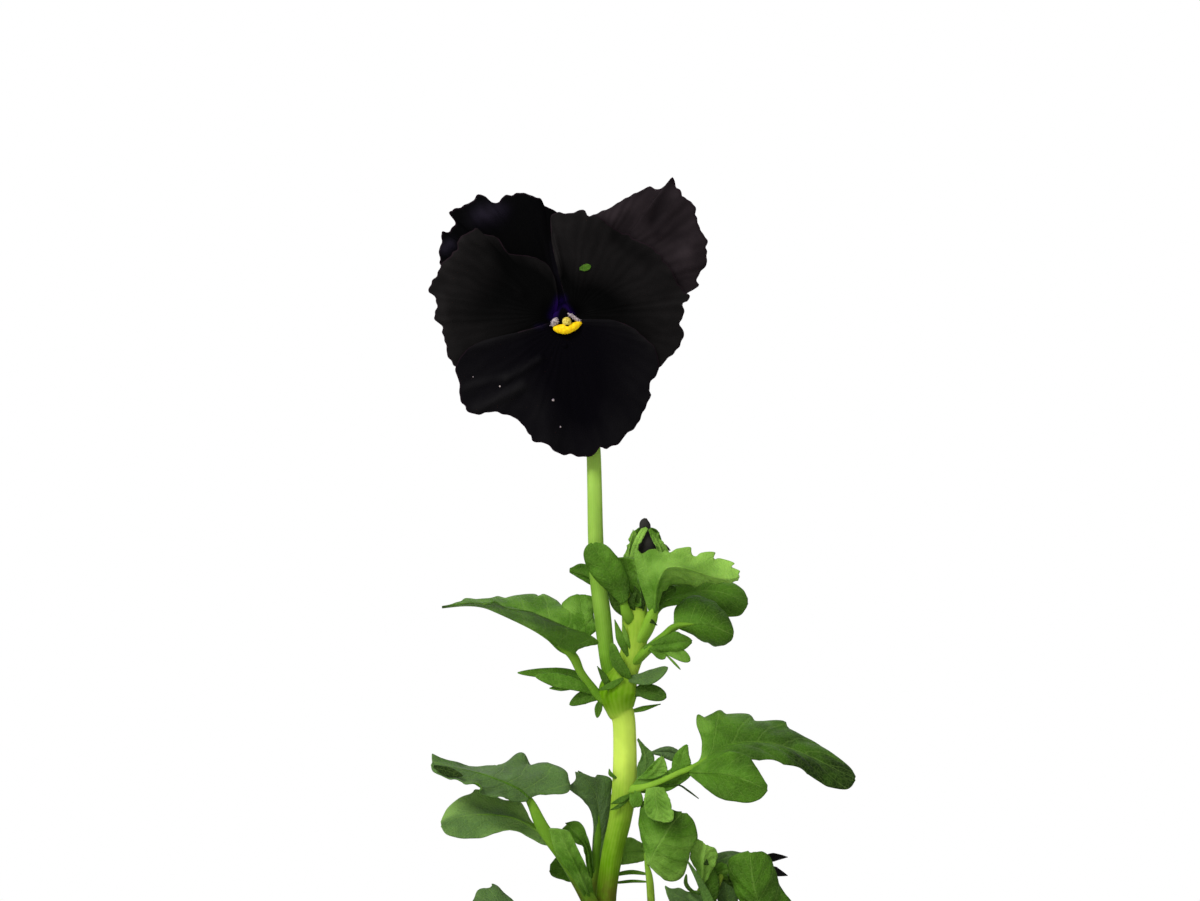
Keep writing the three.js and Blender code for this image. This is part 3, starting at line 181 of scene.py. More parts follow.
@dataclass
class Growth:
    """Gathers sheets and stalks into the one mesh of a piece."""

    name: str
    points: list[np.ndarray] = field(default_factory=list)
    faces: Faces = field(default_factory=list)
    tissues: list[int] = field(default_factory=list)
    maps: list[np.ndarray] = field(default_factory=list)
    marks: dict[str, list[np.ndarray]] = field(default_factory=dict)
    count: int = 0

    def add(
        self, points: np.ndarray, faces: Faces, flat: np.ndarray, tissue: Tissue, marks: Marks | None = None
    ) -> None:
        """Adds one closed body.

        Args:
            points: its vertices in mm.
            faces: its faces, counted from its own first vertex.
            flat: each vertex's place on the flat map.
            tissue: which finish it takes.
            marks: named values for each vertex, which the finishes read. A name left out stands at 0.
        """
        given = marks or {}
        for name in set(given) | set(self.marks):
            before = self.marks.setdefault(name, [np.zeros(self.count)] if self.count else [])
            before.append(given.get(name, np.zeros(len(points))))
        self.points.append(points)
        self.faces.extend(tuple(corner + self.count for corner in face) for face in faces)
        self.tissues.extend([tissue.value] * len(faces))
        self.maps.append(flat)
        self.count += len(points)

    def sheet(
        self,
        grid: np.ndarray,
        thickness: float | np.ndarray,
        tissue: Tissue = Tissue.FLESH,
        marks: Marks | None = None,
        dust: Place = (0.0, 1.0),
    ) -> None:
        """Thickens a grid of points into a closed sheet.

        Args:
            grid: the points of the middle surface, rows by columns by 3.
            thickness: the sheet's thickness in mm, as one number or one for each point.
            tissue: which finish it takes.
            marks: named values for each grid point.
            dust: how dull and grey it is, from 0 to 1, on the side that faces forwards and up and on
                the other.
        """
        rows, columns = grid.shape[:2]
        size = rows * columns
        normals = grid_normals(grid)
        shift = np.broadcast_to(np.asarray(thickness, float) / 2, (rows, columns))[..., None] * normals
        points = np.concatenate([(grid + shift).reshape(-1, 3), (grid - shift).reshape(-1, 3)])
        corner = np.arange(size).reshape(rows, columns)
        a, b, c, d = corner[:-1, :-1], corner[1:, :-1], corner[1:, 1:], corner[:-1, 1:]
        rim = np.concatenate([corner[0, :-1], corner[:-1, -1], corner[-1, :0:-1], corner[:0:-1, 0]])
        after = np.roll(rim, -1)
        faces = as_faces(a, b, c, d) + as_faces(a + size, d + size, c + size, b + size)
        faces += as_faces(rim, after, after + size, rim + size)
        along, across = np.meshgrid(np.linspace(0, 1, rows), np.linspace(0, 1, columns), indexing="ij")
        flat = np.tile(np.stack([along, across], axis=-1).reshape(-1, 2), (2, 1))
        every = {name: np.tile(value.reshape(-1), 2) for name, value in (marks or {}).items()}
        first_is_upper = float(np.mean(normals @ FORWARDS_AND_UP)) > 0
        every["dust"] = np.repeat(dust if first_is_upper else dust[::-1], size)
        self.add(points, faces, flat, tissue, every)

    def stalk(
        self,
        path: Sequence[Sequence[float]],
        sides: int = 20,
        steps: int = 0,
        ridges: int = 0,
        ridge: float = 0.06,
        twist: float = 0.0,
        tissue: Tissue = Tissue.STALK,
        tone: float = 0.4,
    ) -> None:
        """Adds a tapered round stalk along a path.

        Args:
            path: points of x, y, z and radius in mm, and how pale it is there, from 0 to 1, where that
                changes.
            sides: how many sides it has.
            steps: how many rings it has, or 0 for RING_STEPS between each two points.
            ridges: how many lengthwise ridges stand on it.
            ridge: how far they stand out, as a share of the radius.
            twist: how many turns the ridges make on the way.
            tissue: which finish it takes.
            tone: how pale it is all along, where its path doesn't say.
        """
        rings = steps or RING_STEPS * (len(path) - 1)
        line = through(path, np.linspace(0, 1, rings + 1))
        tones = line[:, 4] if line.shape[1] > 4 else np.full(rings + 1, tone)
        centres, radii = line[:, :3], np.maximum(line[:, 3], THINNEST)
        forward = unit(np.gradient(centres, axis=0))
        turn = np.linspace(0, FULL_TURN, sides, endpoint=False)
        winding = FULL_TURN * twist * np.arange(rings + 1)[:, None] / rings
        height = ridge if ridges else 0
        reach = radii[:, None] * (1 + height * np.cos(ridges * (turn + winding)))
        side = np.array([1.0, 0.0, 0.0]) if abs(forward[0, 0]) < 0.9 else np.array([0.0, 1.0, 0.0])
        points = []
        for centre, ahead, out in zip(centres, forward, reach):
            side = side - ahead * side.dot(ahead)
            side /= np.linalg.norm(side)
            up = np.cross(ahead, side)
            points.append(centre + out[:, None] * (np.cos(turn)[:, None] * side + np.sin(turn)[:, None] * up))
        corner = np.arange((rings + 1) * sides).reshape(rings + 1, sides)
        after = np.roll(corner, -1, axis=1)
        faces = as_faces(corner[:-1], after[:-1], after[1:], corner[1:])
        faces.append(tuple(corner[0, ::-1].tolist()))
        faces.append(tuple(corner[-1].tolist()))
        run = np.repeat(run_of(centres) / MAP_LENGTH, sides)
        flat = np.stack([run, np.tile(np.linspace(0, 1, sides, endpoint=False), rings + 1)], axis=-1)
        self.add(np.concatenate(points), faces, flat, tissue, {"tone": np.repeat(tones, sides)})

    def paint(self, name: str, rule: Callable[[np.ndarray], np.ndarray]) -> None:
        """Sets a named value at every vertex made so far, by a rule on their places in mm."""
        self.marks[name] = [rule(np.concatenate(self.points))]

    def turned(self, outline: Sequence[Place], segments: int) -> None:
        """Turns a closed outline round the upright axis.

        Args:
            outline: the closed outline's radii and heights in mm, its last point joined to its first.
            segments: how many segments it has round the axis.
        """
        turn = np.linspace(0, FULL_TURN, segments, endpoint=False)[:, None]
        radius, height = np.asarray(outline, float).T
        upright = np.broadcast_to(height, (segments, len(outline)))
        points = np.stack([radius * np.cos(turn), radius * np.sin(turn), upright], axis=-1)
        corner = np.arange(segments * len(outline)).reshape(segments, len(outline))
        beside, along = np.roll(corner, -1, axis=0), np.roll(corner, -1, axis=1)
        faces = as_faces(corner, beside, np.roll(beside, -1, axis=1), along)
        chart = np.meshgrid(turn[:, 0] / FULL_TURN, np.linspace(0, 1, len(outline)), indexing="ij")
        self.add(points.reshape(-1, 3), faces, np.stack(chart, axis=-1).reshape(-1, 2), Tissue.FLESH)

    def finish(self, node: str, slot: str, finishes: Sequence[bpy.types.Material]) -> bpy.types.Object:
        """Makes the object, dresses it and tells the frame what it stands for.

        Args:
            node: the CAD node that it replaces.
            slot: the record's material slot; not used.
            finishes: its materials, in the order of Tissue.

        Returns:
            The new object.
        """
        mesh = bpy.data.meshes.new(self.name)
        mesh.from_pydata((np.concatenate(self.points) * MM).tolist(), [], self.faces)
        flat = np.concatenate(self.maps)
        corners = np.empty(len(mesh.loops), dtype=np.int32)
        mesh.loops.foreach_get("vertex_index", corners)
        layer = mesh.uv_layers.new(name="Growth")
        layer.data.foreach_set("uv", flat[corners].reshape(-1))
        for name, values in self.marks.items():
            mark = mesh.attributes.new(name, "FLOAT", "POINT")
            mark.data.foreach_set("value", np.concatenate(values))
        mesh.polygons.foreach_set("use_smooth", [True] * len(mesh.polygons))
        for finish in finishes:
            mesh.materials.append(finish)
        if len(finishes) > 1:
            mesh.polygons.foreach_set("material_index", self.tissues)
        mesh.update()
        piece = bpy.data.objects.new(self.name, mesh)
        bpy.context.scene.collection.objects.link(piece)
        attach(piece, "root")
        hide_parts(node)
        log.info("%s: %d faces, stands for %s", self.name, len(mesh.polygons), node)
        return piece


# Finishes


def linear(colour: str) -> tuple[float, float, float, float]:
    """Turns an sRGB hex colour such as "#4d7230" into linear red, green, blue and alpha."""
    shares = [int(colour[k : k + 2], 16) / 255 for k in (1, 3, 5)]
    return (*(s / 12.92 if s <= 0.04045 else ((s + 0.055) / 1.055) ** 2.4 for s in shares), 1.0)


def add_node(tree: Tree, kind: str, settings: dict | None = None, **inputs: object) -> Node:
    """Adds a node with its settings and links.

    Args:
        tree: the node tree.
        kind: the node's type name.
        settings: attributes to set on the node itself.
        inputs: values or sockets for its inputs. An underscore stands for a space, and in0, in1 and so on
            are inputs by number.

    Returns:
        The new node.
    """
    node = tree.nodes.new(kind)
    for key, value in (settings or {}).items():
        setattr(node, key, value)
    for key, value in inputs.items():
        by_number = key[:2] == "in" and key[2:].isdigit()
        socket = node.inputs[int(key[2:]) if by_number else key.replace("_", " ")]
        if isinstance(value, Socket):
            tree.links.new(value, socket)
        else:
            socket.default_value = value
    return node


class Bench:
    """A material in the making: its nodes, its one shader, and the few steps that patterns are made of."""

    def __init__(self, name: str) -> None:
        """Starts the material with its shader joined to the output.

        Args:
            name: the material's name.
        """
        self.material = bpy.data.materials.new(name)
        self.material.use_nodes = True
        self.tree = self.material.node_tree
        self.tree.nodes.clear()
        self.shader = add_node(self.tree, "ShaderNodeBsdfPrincipled")
        add_node(self.tree, "ShaderNodeOutputMaterial", Surface=self.shader.outputs[0])
        self.place = add_node(self.tree, "ShaderNodeTexCoord").outputs["Object"]

    def join(self, socket: Socket, name: str) -> None:
        """Joins a socket to one of the shader's inputs."""
        self.tree.links.new(socket, self.shader.inputs[name])

    def set_all_over(self, **numbers: object) -> None:
        """Sets the shader's inputs that are the same all over. An underscore stands for a space."""
        for name, number in numbers.items():
            self.shader.inputs[name.replace("_", " ")].default_value = number

    def flat(self) -> tuple[Socket, Socket]:
        """Gives the place along and across on the flat map.

        Returns:
            The place along and the place across.
        """
        chart = add_node(self.tree, "ShaderNodeUVMap", {"uv_map": "Growth"})
        parted = add_node(self.tree, "ShaderNodeSeparateXYZ", in0=chart.outputs[0])
        return parted.outputs[0], parted.outputs[1]

    def height(self) -> Socket:
        """Gives the height on the object, in metres."""
        return add_node(self.tree, "ShaderNodeSeparateXYZ", in0=self.place).outputs[2]

    def mark(self, name: str) -> Socket:
        """Gives a named value that the mesh holds at each vertex."""
        return add_node(self.tree, "ShaderNodeAttribute", {"attribute_name": name}).outputs["Fac"]

    def sum(self, work: str, *inputs: object, clamp: bool = False) -> Socket:
        """Gives the result of one sum.

        Args:
            work: the sum's name, such as SINE.
            inputs: its numbers or sockets.
            clamp: keeps the result between 0 and 1.

        Returns:
            The result's socket.
        """
        named = {f"in{i}": value for i, value in enumerate(inputs)}
        settings = {"operation": work, "use_clamp": clamp}
        return add_node(self.tree, "ShaderNodeMath", settings, **named).outputs[0]

    def plus(self, first: object, second: object, clamp: bool = False) -> Socket:
        """Adds two values."""
        return self.sum("ADD", first, second, clamp=clamp)

    def times(self, first: object, second: object, more: object = 0.0, clamp: bool = False) -> Socket:
        """Multiplies two values, and adds a third."""
        return self.sum("MULTIPLY_ADD", first, second, more, clamp=clamp)

    def blotches(self, size: float, detail: float = 2.0) -> Socket:
        """Gives soft random blotches of a size in mm, from 0 to 1."""
        pattern = {"Vector": self.place, "Scale": 1 / (size * MM), "Detail": detail}
        return add_node(self.tree, "ShaderNodeTexNoise", **pattern).outputs["Fac"]

    def ramp(self, value: Socket, low: float, high: float, to: Place = (0, 1)) -> Socket:
        """Moves a value from one range to another, with soft ends.

        Args:
            value: the value to move.
            low: where its range starts.
            high: where its range ends.
            to: the start and end of the new range.

        Returns:
            The moved value.
        """
        settings = {"interpolation_type": "SMOOTHSTEP"}
        numbers = {"in1": low, "in2": high, "in3": to[0], "in4": to[1]}
        return add_node(self.tree, "ShaderNodeMapRange", settings, in0=value, **numbers).outputs[0]

    def mix(self, share: object, first: object, second: object) -> Socket:
        """Mixes two colours by a share from 0 to 1. A hex colour or a socket may be given.

        Args:
            share: the second colour's share, from 0 to 1.
            first: the first colour, as a hex colour or a socket.
            second: the second colour, given in the same way.

        Returns:
            The mixed colour.
        """
        colours = [linear(c) if isinstance(c, str) else c for c in (first, second)]
        inputs = {"in0": share, "in6": colours[0], "in7": colours[1]}
        return add_node(self.tree, "ShaderNodeMix", {"data_type": "RGBA"}, **inputs).outputs[2]

    def bump(self, height: Socket, depth: float, strength: float) -> None:
        """Raises the surface by a height pattern, with its full depth in mm."""
        raised = add_node(self.tree, "ShaderNodeBump", Height=height, Distance=depth * MM, Strength=strength)
        self.join(raised.outputs[0], "Normal")

    def roughen(self, grain: Socket, roughness: float, less: float, more: float) -> None:
        """Lets the roughness wander with a fine grain, from so much less to so much more."""
        self.join(self.ramp(grain, 0.2, 0.8, (roughness - less, roughness + more)), "Roughness")


@dataclass(frozen=True)
class Finish:
    """What every finish shares: its name, how rough it is, and that it is built on a bench."""

    name: str
    roughness: float = 0.6

    def dress(self, bench: Bench) -> None:
        """Lays out the finish's patterns. Each finish has its own way."""
        raise NotImplementedError

    def build(self) -> bpy.types.Material:
        """Makes the material.

        Returns:
            The material.
        """
        bench = Bench(self.name)
        self.dress(bench)
        return bench.material


@dataclass(frozen=True)
class LeafTissue(Finish):
    """Pansy leaf: smooth, slightly fleshy tissue with a thin wax. Young tissue is yellow-green and old tissue
    is deep green, the veins show as slightly paler lines, and the underside is duller and greyer."""

    deep: str = "#1b2f08"
    mid: str = "#4b761c"
    fresh: str = "#8cb94e"
    vein: str = "#8fb355"
    vein_strength: float = 0.21
    side_vein_strength: float = 0.6
    dull: str = "#5b6d50"
    dullness: float = 0.45
    cell_size: float = 0.9
    net_strength: float = 0.08
    blotch_size: float = 5.5

    def veins(self, bench: Bench) -> Socket:
        """Gives the rib and its side veins, which lean to the tip.

        Args:
            bench: where the material's nodes are set down.

        Returns:
            How strongly a vein stands at each place.
        """
        along, edge = bench.flat()
        across = bench.sum("ABSOLUTE", bench.times(edge, 2.0, -1.0))
        lean = bench.times(across, -VEIN_LEAN, along)
        phase = bench.times(bench.plus(lean, bench.times(bench.blotches(4.0), 0.05)), float(SIDE_VEINS))
        side_vein = bench.ramp(bench.sum("PINGPONG", phase, 0.5), 0.0, 0.07, (1, 0))
        rib = bench.ramp(across, 0.0, 0.05, (1, 0))
        return bench.sum("MAXIMUM", rib, bench.times(side_vein, self.side_vein_strength))

    def net(self, bench: Bench) -> Socket:
        """Gives the fine net of cells between the veins.

        Args:
            bench: where the material's nodes are set down.

        Returns:
            How strongly the net stands at each place.
        """
        settings, scale = {"feature": "DISTANCE_TO_EDGE"}, 1 / (self.cell_size * MM)
        cells = add_node(bench.tree, "ShaderNodeTexVoronoi", settings, Vector=bench.place, Scale=scale)
        return bench.ramp(cells.outputs["Distance"], 0.0, 0.14, (1, 0))

    def dress(self, bench: Bench) -> None:
        """Lays out the greens, the veins and the dull underside.

        Args:
            bench: where the material's nodes are set down.
        """
        veins, net = self.veins(bench), self.net(bench)
        pale = bench.times(net, self.net_strength, bench.times(veins, self.vein_strength), clamp=True)
        cloud = bench.ramp(bench.blotches(self.blotch_size, 6.0), 0.32, 0.68, (-0.1, 0.16))
        tone = bench.plus(bench.mark("tone"), cloud)
        lower = bench.mix(bench.times(tone, 2.0, clamp=True), self.deep, self.mid)
        green = bench.mix(bench.times(tone, 2.0, -1.0, clamp=True), lower, self.fresh)
        sided = bench.mix(bench.times(bench.mark("dust"), self.dullness), green, self.dull)
        bench.join(bench.mix(pale, sided, self.vein), "Base Color")
        fine = bench.blotches(0.5)
        bench.roughen(fine, self.roughness, 0.07, 0.09)
        bench.bump(bench.times(veins, -0.8, bench.times(net, -0.35, fine)), 0.26, 0.6)
        bench.set_all_over(IOR=1.4, Specular_IOR_Level=0.11, Subsurface_Weight=0.1)
        bench.set_all_over(Subsurface_Radius=(0.3, 0.55, 0.05), Subsurface_Scale=0.6 * MM)


@dataclass(frozen=True)
class StemTissue(Finish):
    """Juicy green stem: smooth skin, wetter than a leaf, with fine lengthwise strands that show paler. It is
    watery and pale where it grows, and darker where it is old."""

    deep: str = "#5c8c06"
    pale: str = "#c9e25c"
    strand_colour: str = "#cfe668"
    strands: float = 22.0
    aged: str = "#5f4f22"
    aged_below: float = 125.0
    aging_reach: float = 8.0
    roughness: float = 0.5

    def aging(self, bench: Bench) -> Socket:
        """Says how aged the skin is. It ages in patches, towards the foot."""
        low = bench.ramp(bench.height(), self.aged_below * MM, (self.aged_below - self.aging_reach) * MM)
        return bench.times(low, bench.ramp(bench.blotches(3.0, 3.0), 0.35, 0.65, (0.1, 0.7)))

    def dress(self, bench: Bench) -> None:
        """Lays out the green, its strands and the aged foot.

        Args:
            bench: where the material's nodes are set down.
        """
        phase = bench.times(bench.plus(bench.flat()[1], bench.times(bench.blotches(7.0), 0.08)), self.strands)
        strand = bench.ramp(bench.sum("PINGPONG", phase, 0.5), 0.05, 0.45)
        cloud = bench.ramp(bench.blotches(5.0, 3.0), 0.3, 0.7, (-0.08, 0.08))
        body = bench.mix(bench.plus(bench.mark("tone"), cloud, clamp=True), self.deep, self.pale)
        streaked = bench.mix(bench.times(strand, 0.06), body, self.strand_colour)
        bench.join(bench.mix(self.aging(bench), streaked, self.aged), "Base Color")
        fine = bench.blotches(0.4)
        bench.roughen(fine, self.roughness, 0.06, 0.1)
        bench.bump(bench.times(strand, 0.25, fine), 0.03, 0.5)
        bench.set_all_over(IOR=1.4, Specular_IOR_Level=0.06, Subsurface_Weight=0.15)
        bench.set_all_over(Subsurface_Radius=(0.5, 0.8, 0.1), Subsurface_Scale=1.0 * MM)


@dataclass(frozen=True)
class PetalVelvet(Finish):
    """Black pansy petal: cells like tiny cones drink the light and give a velvet bloom on the raised parts,
    which is painted into the colour as painted sheen and highlights. The pigment is a purple so deep that it
    reads as black, and shows only at the thin margin."""

    ground: str = "#020202"
    # The pale grey of the bloom: painted sheen and highlights on the black.
    bloom: str = "#1b1919"
    margin: str = "#38202f"
    margin_strength: float = 0.22
    halo: str = "#1a0642"
    rays: float = 30.0
    roughness: float = 0.7

    def dress(self, bench: Bench) -> None:
        """Lays out the velvet's bloom, a painted sheen with painted highlights and shade, in rays, the margin
        and the halo.

        Args:
            bench: where the material's nodes are set down.
        """
        around, out = bench.flat()
        phase = bench.times(bench.plus(around, bench.times(bench.blotches(5.0, 3.0), 0.05)), self.rays)
        ray = bench.ramp(bench.sum("PINGPONG", phase, 0.5), 0.0, 0.5)
        cloud = bench.ramp(bench.blotches(7.0, 3.0), 0.3, 0.7, (0.72, 1.15))
        # The bloom mark paints light and shade into the colour: paler towards the margin and on the folds'
        # ridges, darker in their hollows.
        tone = bench.times(bench.mark("bloom"), bench.times(cloud, bench.times(ray, 0.22, 0.84)), clamp=True)
        body = bench.mix(tone, self.ground, self.bloom)
        edged = bench.mix(bench.ramp(out, 0.985, 1.0, (0, self.margin_strength)), body, self.margin)
        bench.join(bench.mix(bench.mark("halo"), edged, self.halo), "Base Color")
        nap = bench.blotches(0.25)
        bench.roughen(nap, self.roughness, 0.1, 0.1)
        bench.bump(bench.times(ray, 0.5, nap), 0.1, 0.5)
        bench.set_all_over(IOR=1.4, Specular_IOR_Level=0.03)


@dataclass(frozen=True)
class Mealy(Finish):
    """Soft grainy tissue, such as a stigma or a tuft of hairs: dull, with a fine grain of two colours."""

    dark: str = "#b39a35"
    light: str = "#dccb62"
    grain: float = 0.3

    def dress(self, bench: Bench) -> None:
        """Lays out the grain.

        Args:
            bench: where the material's nodes are set down.
        """
        speck = bench.blotches(self.grain)
        bench.join(bench.mix(bench.ramp(speck, 0.35, 0.65), self.dark, self.light), "Base Color")
        bench.roughen(speck, self.roughness, 0.08, 0.1)
        bench.bump(speck, 0.05, 0.5)
        bench.set_all_over(Specular_IOR_Level=0.08)


@dataclass(frozen=True)
class FiredClay(Finish):
    """Unglazed terracotta: porous and matt, with sandy specks, faint rings from the wheel and pale lime
    bloom."""

    clay: str = "#b4623d"
    burnt: str = "#94482b"
    bloom: str = "#d3a78c"
    speck_size: float = 0.8
    ring_step: float = 1.6
    roughness: float = 0.88

    def dress(self, bench: Bench) -> None:
        """Lays out the clay's clouds, specks, lime and rings.

        Args:
            bench: where the material's nodes are set down.
        """
        cloud = bench.ramp(bench.blotches(28.0, 5.0), 0.35, 0.7)
        speck = bench.ramp(bench.blotches(self.speck_size, 3.0), 0.55, 0.72)
        chalk = bench.ramp(bench.blotches(17.0, 7.0), 0.55, 0.8, (0, 0.5))
        body = bench.mix(cloud, self.clay, self.burnt)
        specked = bench.mix(bench.times(speck, 0.35), body, self.burnt)
        bench.join(bench.mix(chalk, specked, self.bloom), "Base Color")
        climb = bench.plus(bench.height(), bench.times(bench.blotches(30.0), 2 * MM))
        ring = bench.sum("SINE", bench.times(climb, FULL_TURN / (self.ring_step * MM)))
        grit = bench.blotches(0.5, 4.0)
        bench.bump(bench.times(ring, 0.12, grit), 0.25, 0.7)
        bench.roughen(grit, self.roughness, 0.08, 0.08)
        bench.set_all_over(Specular_IOR_Level=0.25)


@dataclass(frozen=True)
class PottingSoil(Finish):
    """Peat-based potting mix: dark fibrous crumbs, a little paler where they have dried."""

    damp: str = "#21170f"
    dry: str = "#4a3626"
    crumb_size: float = 2.2
    roughness: float = 0.95

    def dress(self, bench: Bench) -> None:
        """Lays out the crumbs and fibres.

        Args:
            bench: where the material's nodes are set down.
        """
        crumb, fibre = bench.blotches(self.crumb_size, 6.0), bench.blotches(0.5, 3.0)
        dryness = bench.times(fibre, 0.4, bench.ramp(crumb, 0.35, 0.7, (0, 0.7)), clamp=True)
        bench.join(bench.mix(dryness, self.damp, self.dry), "Base Color")
        bench.roughen(fibre, self.roughness, 0.1, 0.0)
        bench.bump(bench.times(fibre, 0.5, crumb), 0.8, 0.9)
        bench.set_all_over(Specular_IOR_Level=0.2)


@dataclass(frozen=True)
class PaintedBoard(Finish):
    """Pale painted board: nearly even, with a faint cloudiness. It fades out between two distances from its
    middle, in metres."""

    dark: str = "#f4f4f3"
    light: str = "#f9f9f9"
    cloud_scale: float = 6.0
    fade_from: float = 0.25
    fade_to: float = 1.05
    roughness: float = 0.7

    def dress(self, bench: Bench) -> None:
        """Lays out the clouds and the faded edge.

        Args:
            bench: where the material's nodes are set down.
        """
        pattern = {"Vector": bench.place, "Scale": self.cloud_scale, "Detail": 3.0}
        cloud = add_node(bench.tree, "ShaderNodeTexNoise", **pattern).outputs["Fac"]
        bench.join(bench.mix(cloud, self.dark, self.light), "Base Color")
        length = add_node(bench.tree, "ShaderNodeVectorMath", {"operation": "LENGTH"}, in0=bench.place)
        bench.join(bench.ramp(length.outputs["Value"], self.fade_from, self.fade_to, (1, 0)), "Alpha")
        bench.set_all_over(Roughness=self.roughness)


# Leaves and stems


def notch(phase: np.ndarray) -> np.ndarray:
    """Says how deep in a notch between two round teeth the edge is, from 0 to 1. Teeth lean to the tip."""
    within = phase - np.floor(phase)
    return 1 - np.sin(math.pi * within**1.5) ** 0.6


@dataclass(frozen=True)
class Blade:
    """A leaf blade stretched between its rib and its two edges, each from the stalk to the tip. Its tone goes
    from 0, deep green, to 1, young green, and is given at the stalk and at the tip. Its shade is added to the
    tone at the left and the right edge. It is painted light and shade: darker where an edge lies in shade,
    and lighter where an edge is lifted out of a shadow."""

    rib: Path
    left: Path
    right: Path
    crown: float = 0.6
    teeth: int = 0
    tooth_depth: float = 0.8
    quilt: float = 0.16
    ruffle: float = 0.25
    rows: int = 84
    columns: int = 14
    rib_radius: float = 0.4
    tone: Place = (0.5, 0.5)
    # Painted light and shade at the left and the right edge: below 0 painted shade, above 0 painted light.
    shade: Place = (0.0, 0.0)
    dust: Place = (0.0, 1.0)
    seed: int = 1

    def surface(self, along: np.ndarray, across: np.ndarray) -> np.ndarray:
        """Lays out the middle surface.

        Args:
            along: places from the stalk, at 0, to the tip, at 1.
            across: places from the left edge, at -1, over the rib to the right edge, at 1.

        Returns:
            Points in mm, along by across by 3.
        """
        rib, left, right = (evenly_through(line, len(along)) for line in (self.rib, self.left, self.right))
        soft_left, soft_right = (smoothed(line, self.rows // 9) for line in (left, right))
        fade = np.minimum(1, 3 * np.sin(math.pi * along))
        pull = self.tooth_depth * fade * notch(self.teeth * along) if self.teeth else 0 * along
        grid = np.empty((len(along), len(across), 3))
        for column, place in enumerate(across):
            out = abs(place)
            sharp, soft = (left, soft_left) if place < 0 else (right, soft_right)
            edge = soft + (sharp - soft) * out**5
            width = np.maximum(np.linalg.norm(edge - rib, axis=1), 0.1)
            reach = out * (1 - np.minimum(0.45, pull / width) * out**3)
            grid[:, column] = rib + reach[:, None] * (edge - rib)
        t, v = along[:, None], np.abs(across)[None, :]
        swell = self.crown * 4 * v * (1 - v) * np.sin(math.pi * t)
        puff = np.abs(np.sin(math.pi * SIDE_VEINS * (t - VEIN_LEAN * v))) ** 0.7
        quilt = self.quilt * puff * np.minimum(1, 4 * v) * np.sin(math.pi * t)
        wave = self.ruffle * smooth_noise(along, 5, self.seed)[:, None] * v**2 * np.minimum(1, 4 * t)
        return grid + (swell + quilt + wave)[..., None] * grid_normals(grid)

    def grow(self, growth: Growth, thickness: float) -> None:
        """Adds the blade, and the rib under it, to a piece.

        Args:
            growth: the piece.
            thickness: the blade's thickness in mm.
        """
        along, across = np.linspace(0, 1, self.rows + 1), np.linspace(-1, 1, 2 * self.columns + 1)
        grid = self.surface(along, across)
        t, v = along[:, None], np.abs(across)[None, :]
        thin = thickness * (0.45 + 0.55 * np.sqrt(np.clip(1 - v**6, 0, 1))) * np.ones_like(t)
        # Painted light and shade, growing towards each edge.
        painted_shading = v * np.where(across < 0, *self.shade)[None, :]
        tones = (self.tone[0] + (self.tone[1] - self.tone[0]) * t) * np.ones_like(v) + painted_shading
        growth.sheet(grid, thin, marks={"tone": tones}, dust=self.dust)
        inner = grid[:: max(1, self.rows // 10), self.columns]
        taper = np.linspace(self.rib_radius, 0.1, len(inner))
        tinge = np.linspace(self.tone[0] + 0.05, self.tone[1] + 0.03, len(inner))
        spine = np.hstack([inner, taper[:, None], tinge[:, None]])[:-1]
        growth.stalk(spine, sides=8, steps=3 * len(inner), tissue=Tissue.FLESH)


@dataclass(frozen=True)
class Lobe:
    """A narrow strap-shaped lobe, such as a stipule or a sepal, round a rib through a few points. It is
    widest at a share of its length and ends in a blunt tip, or in a pointed one."""

    points: Path
    width: float
    lean: Point = (0, 0, 1)
    cup: float = 0.12
    tone: float = 0.5
    widest: float = 0.58
    pointed: float = 0.0
    dust: Place = (0.0, 1.0)
    rows: int = 26
    columns: int = 5

    def grow(self, growth: Growth, thickness: float, tissue: Tissue = Tissue.FLESH) -> None:
        """Adds the lobe to a piece.

        Args:
            growth: the piece.
            thickness: the lobe's thickness in mm.
            tissue: which finish it takes.
        """
        along = np.linspace(0, 1, self.rows + 1)
        rib = through(self.points, along)
        ahead = unit(np.gradient(rib, axis=0))
        lean = np.asarray(self.lean, float)
        across = unit(lean - ahead * (ahead @ lean)[:, None])
        foot = 0.35 + 0.65 * np.sin(math.pi / 2 * np.minimum(1, along / self.widest))
        beyond = np.clip((along - self.widest) / (1 - self.widest), 0, 1)
        blunt = np.sqrt(1 - beyond**2)
        narrow = (1 - beyond) ** 0.8
        half = np.maximum(0.1, self.width / 2 * foot * (blunt + self.pointed * (narrow - blunt)))[:, None]
        share = np.linspace(-1, 1, 2 * self.columns + 1)[None, :]
        grid = rib[:, None, :] + (half * share)[..., None] * across[:, None, :]
        bow = self.cup * half * (share**2 - 0.4)
        grid = grid + bow[..., None] * np.cross(ahead, across)[:, None, :]
        thin = thickness * (0.5 + 0.5 * np.sqrt(1 - share**6)) * np.ones_like(half)
        growth.sheet(grid, thin, tissue, {"tone": np.full(grid.shape[:2], self.tone)}, self.dust)


@dataclass(frozen=True)
class Leaf:
    """A leaf: its stalk, its blade, and the further blades and lobes that grow from its foot."""

    node: str
    stalk: Stalk
    blades: Sequence[Blade]
    lobes: Sequence[Lobe] = ()
    stalk_tone: float = 0.2

    def build(self, thickness: float, finishes: Finishes) -> bpy.types.Object:
        """Makes the leaf.

        Args:
            thickness: the blades' thickness in mm.
            finishes: every finish of the plant by name.

        Returns:
            The leaf's object.
        """
        growth = Growth(f"grown_{self.node}")
        for part in (*self.blades, *self.lobes):
            part.grow(growth, thickness)
        growth.stalk(self.stalk, sides=16, ridges=3, ridge=0.1, tone=self.stalk_tone)
        return growth.finish(self.node, "leaf", [finishes["leaf"], finishes["leaf_stalk"]])


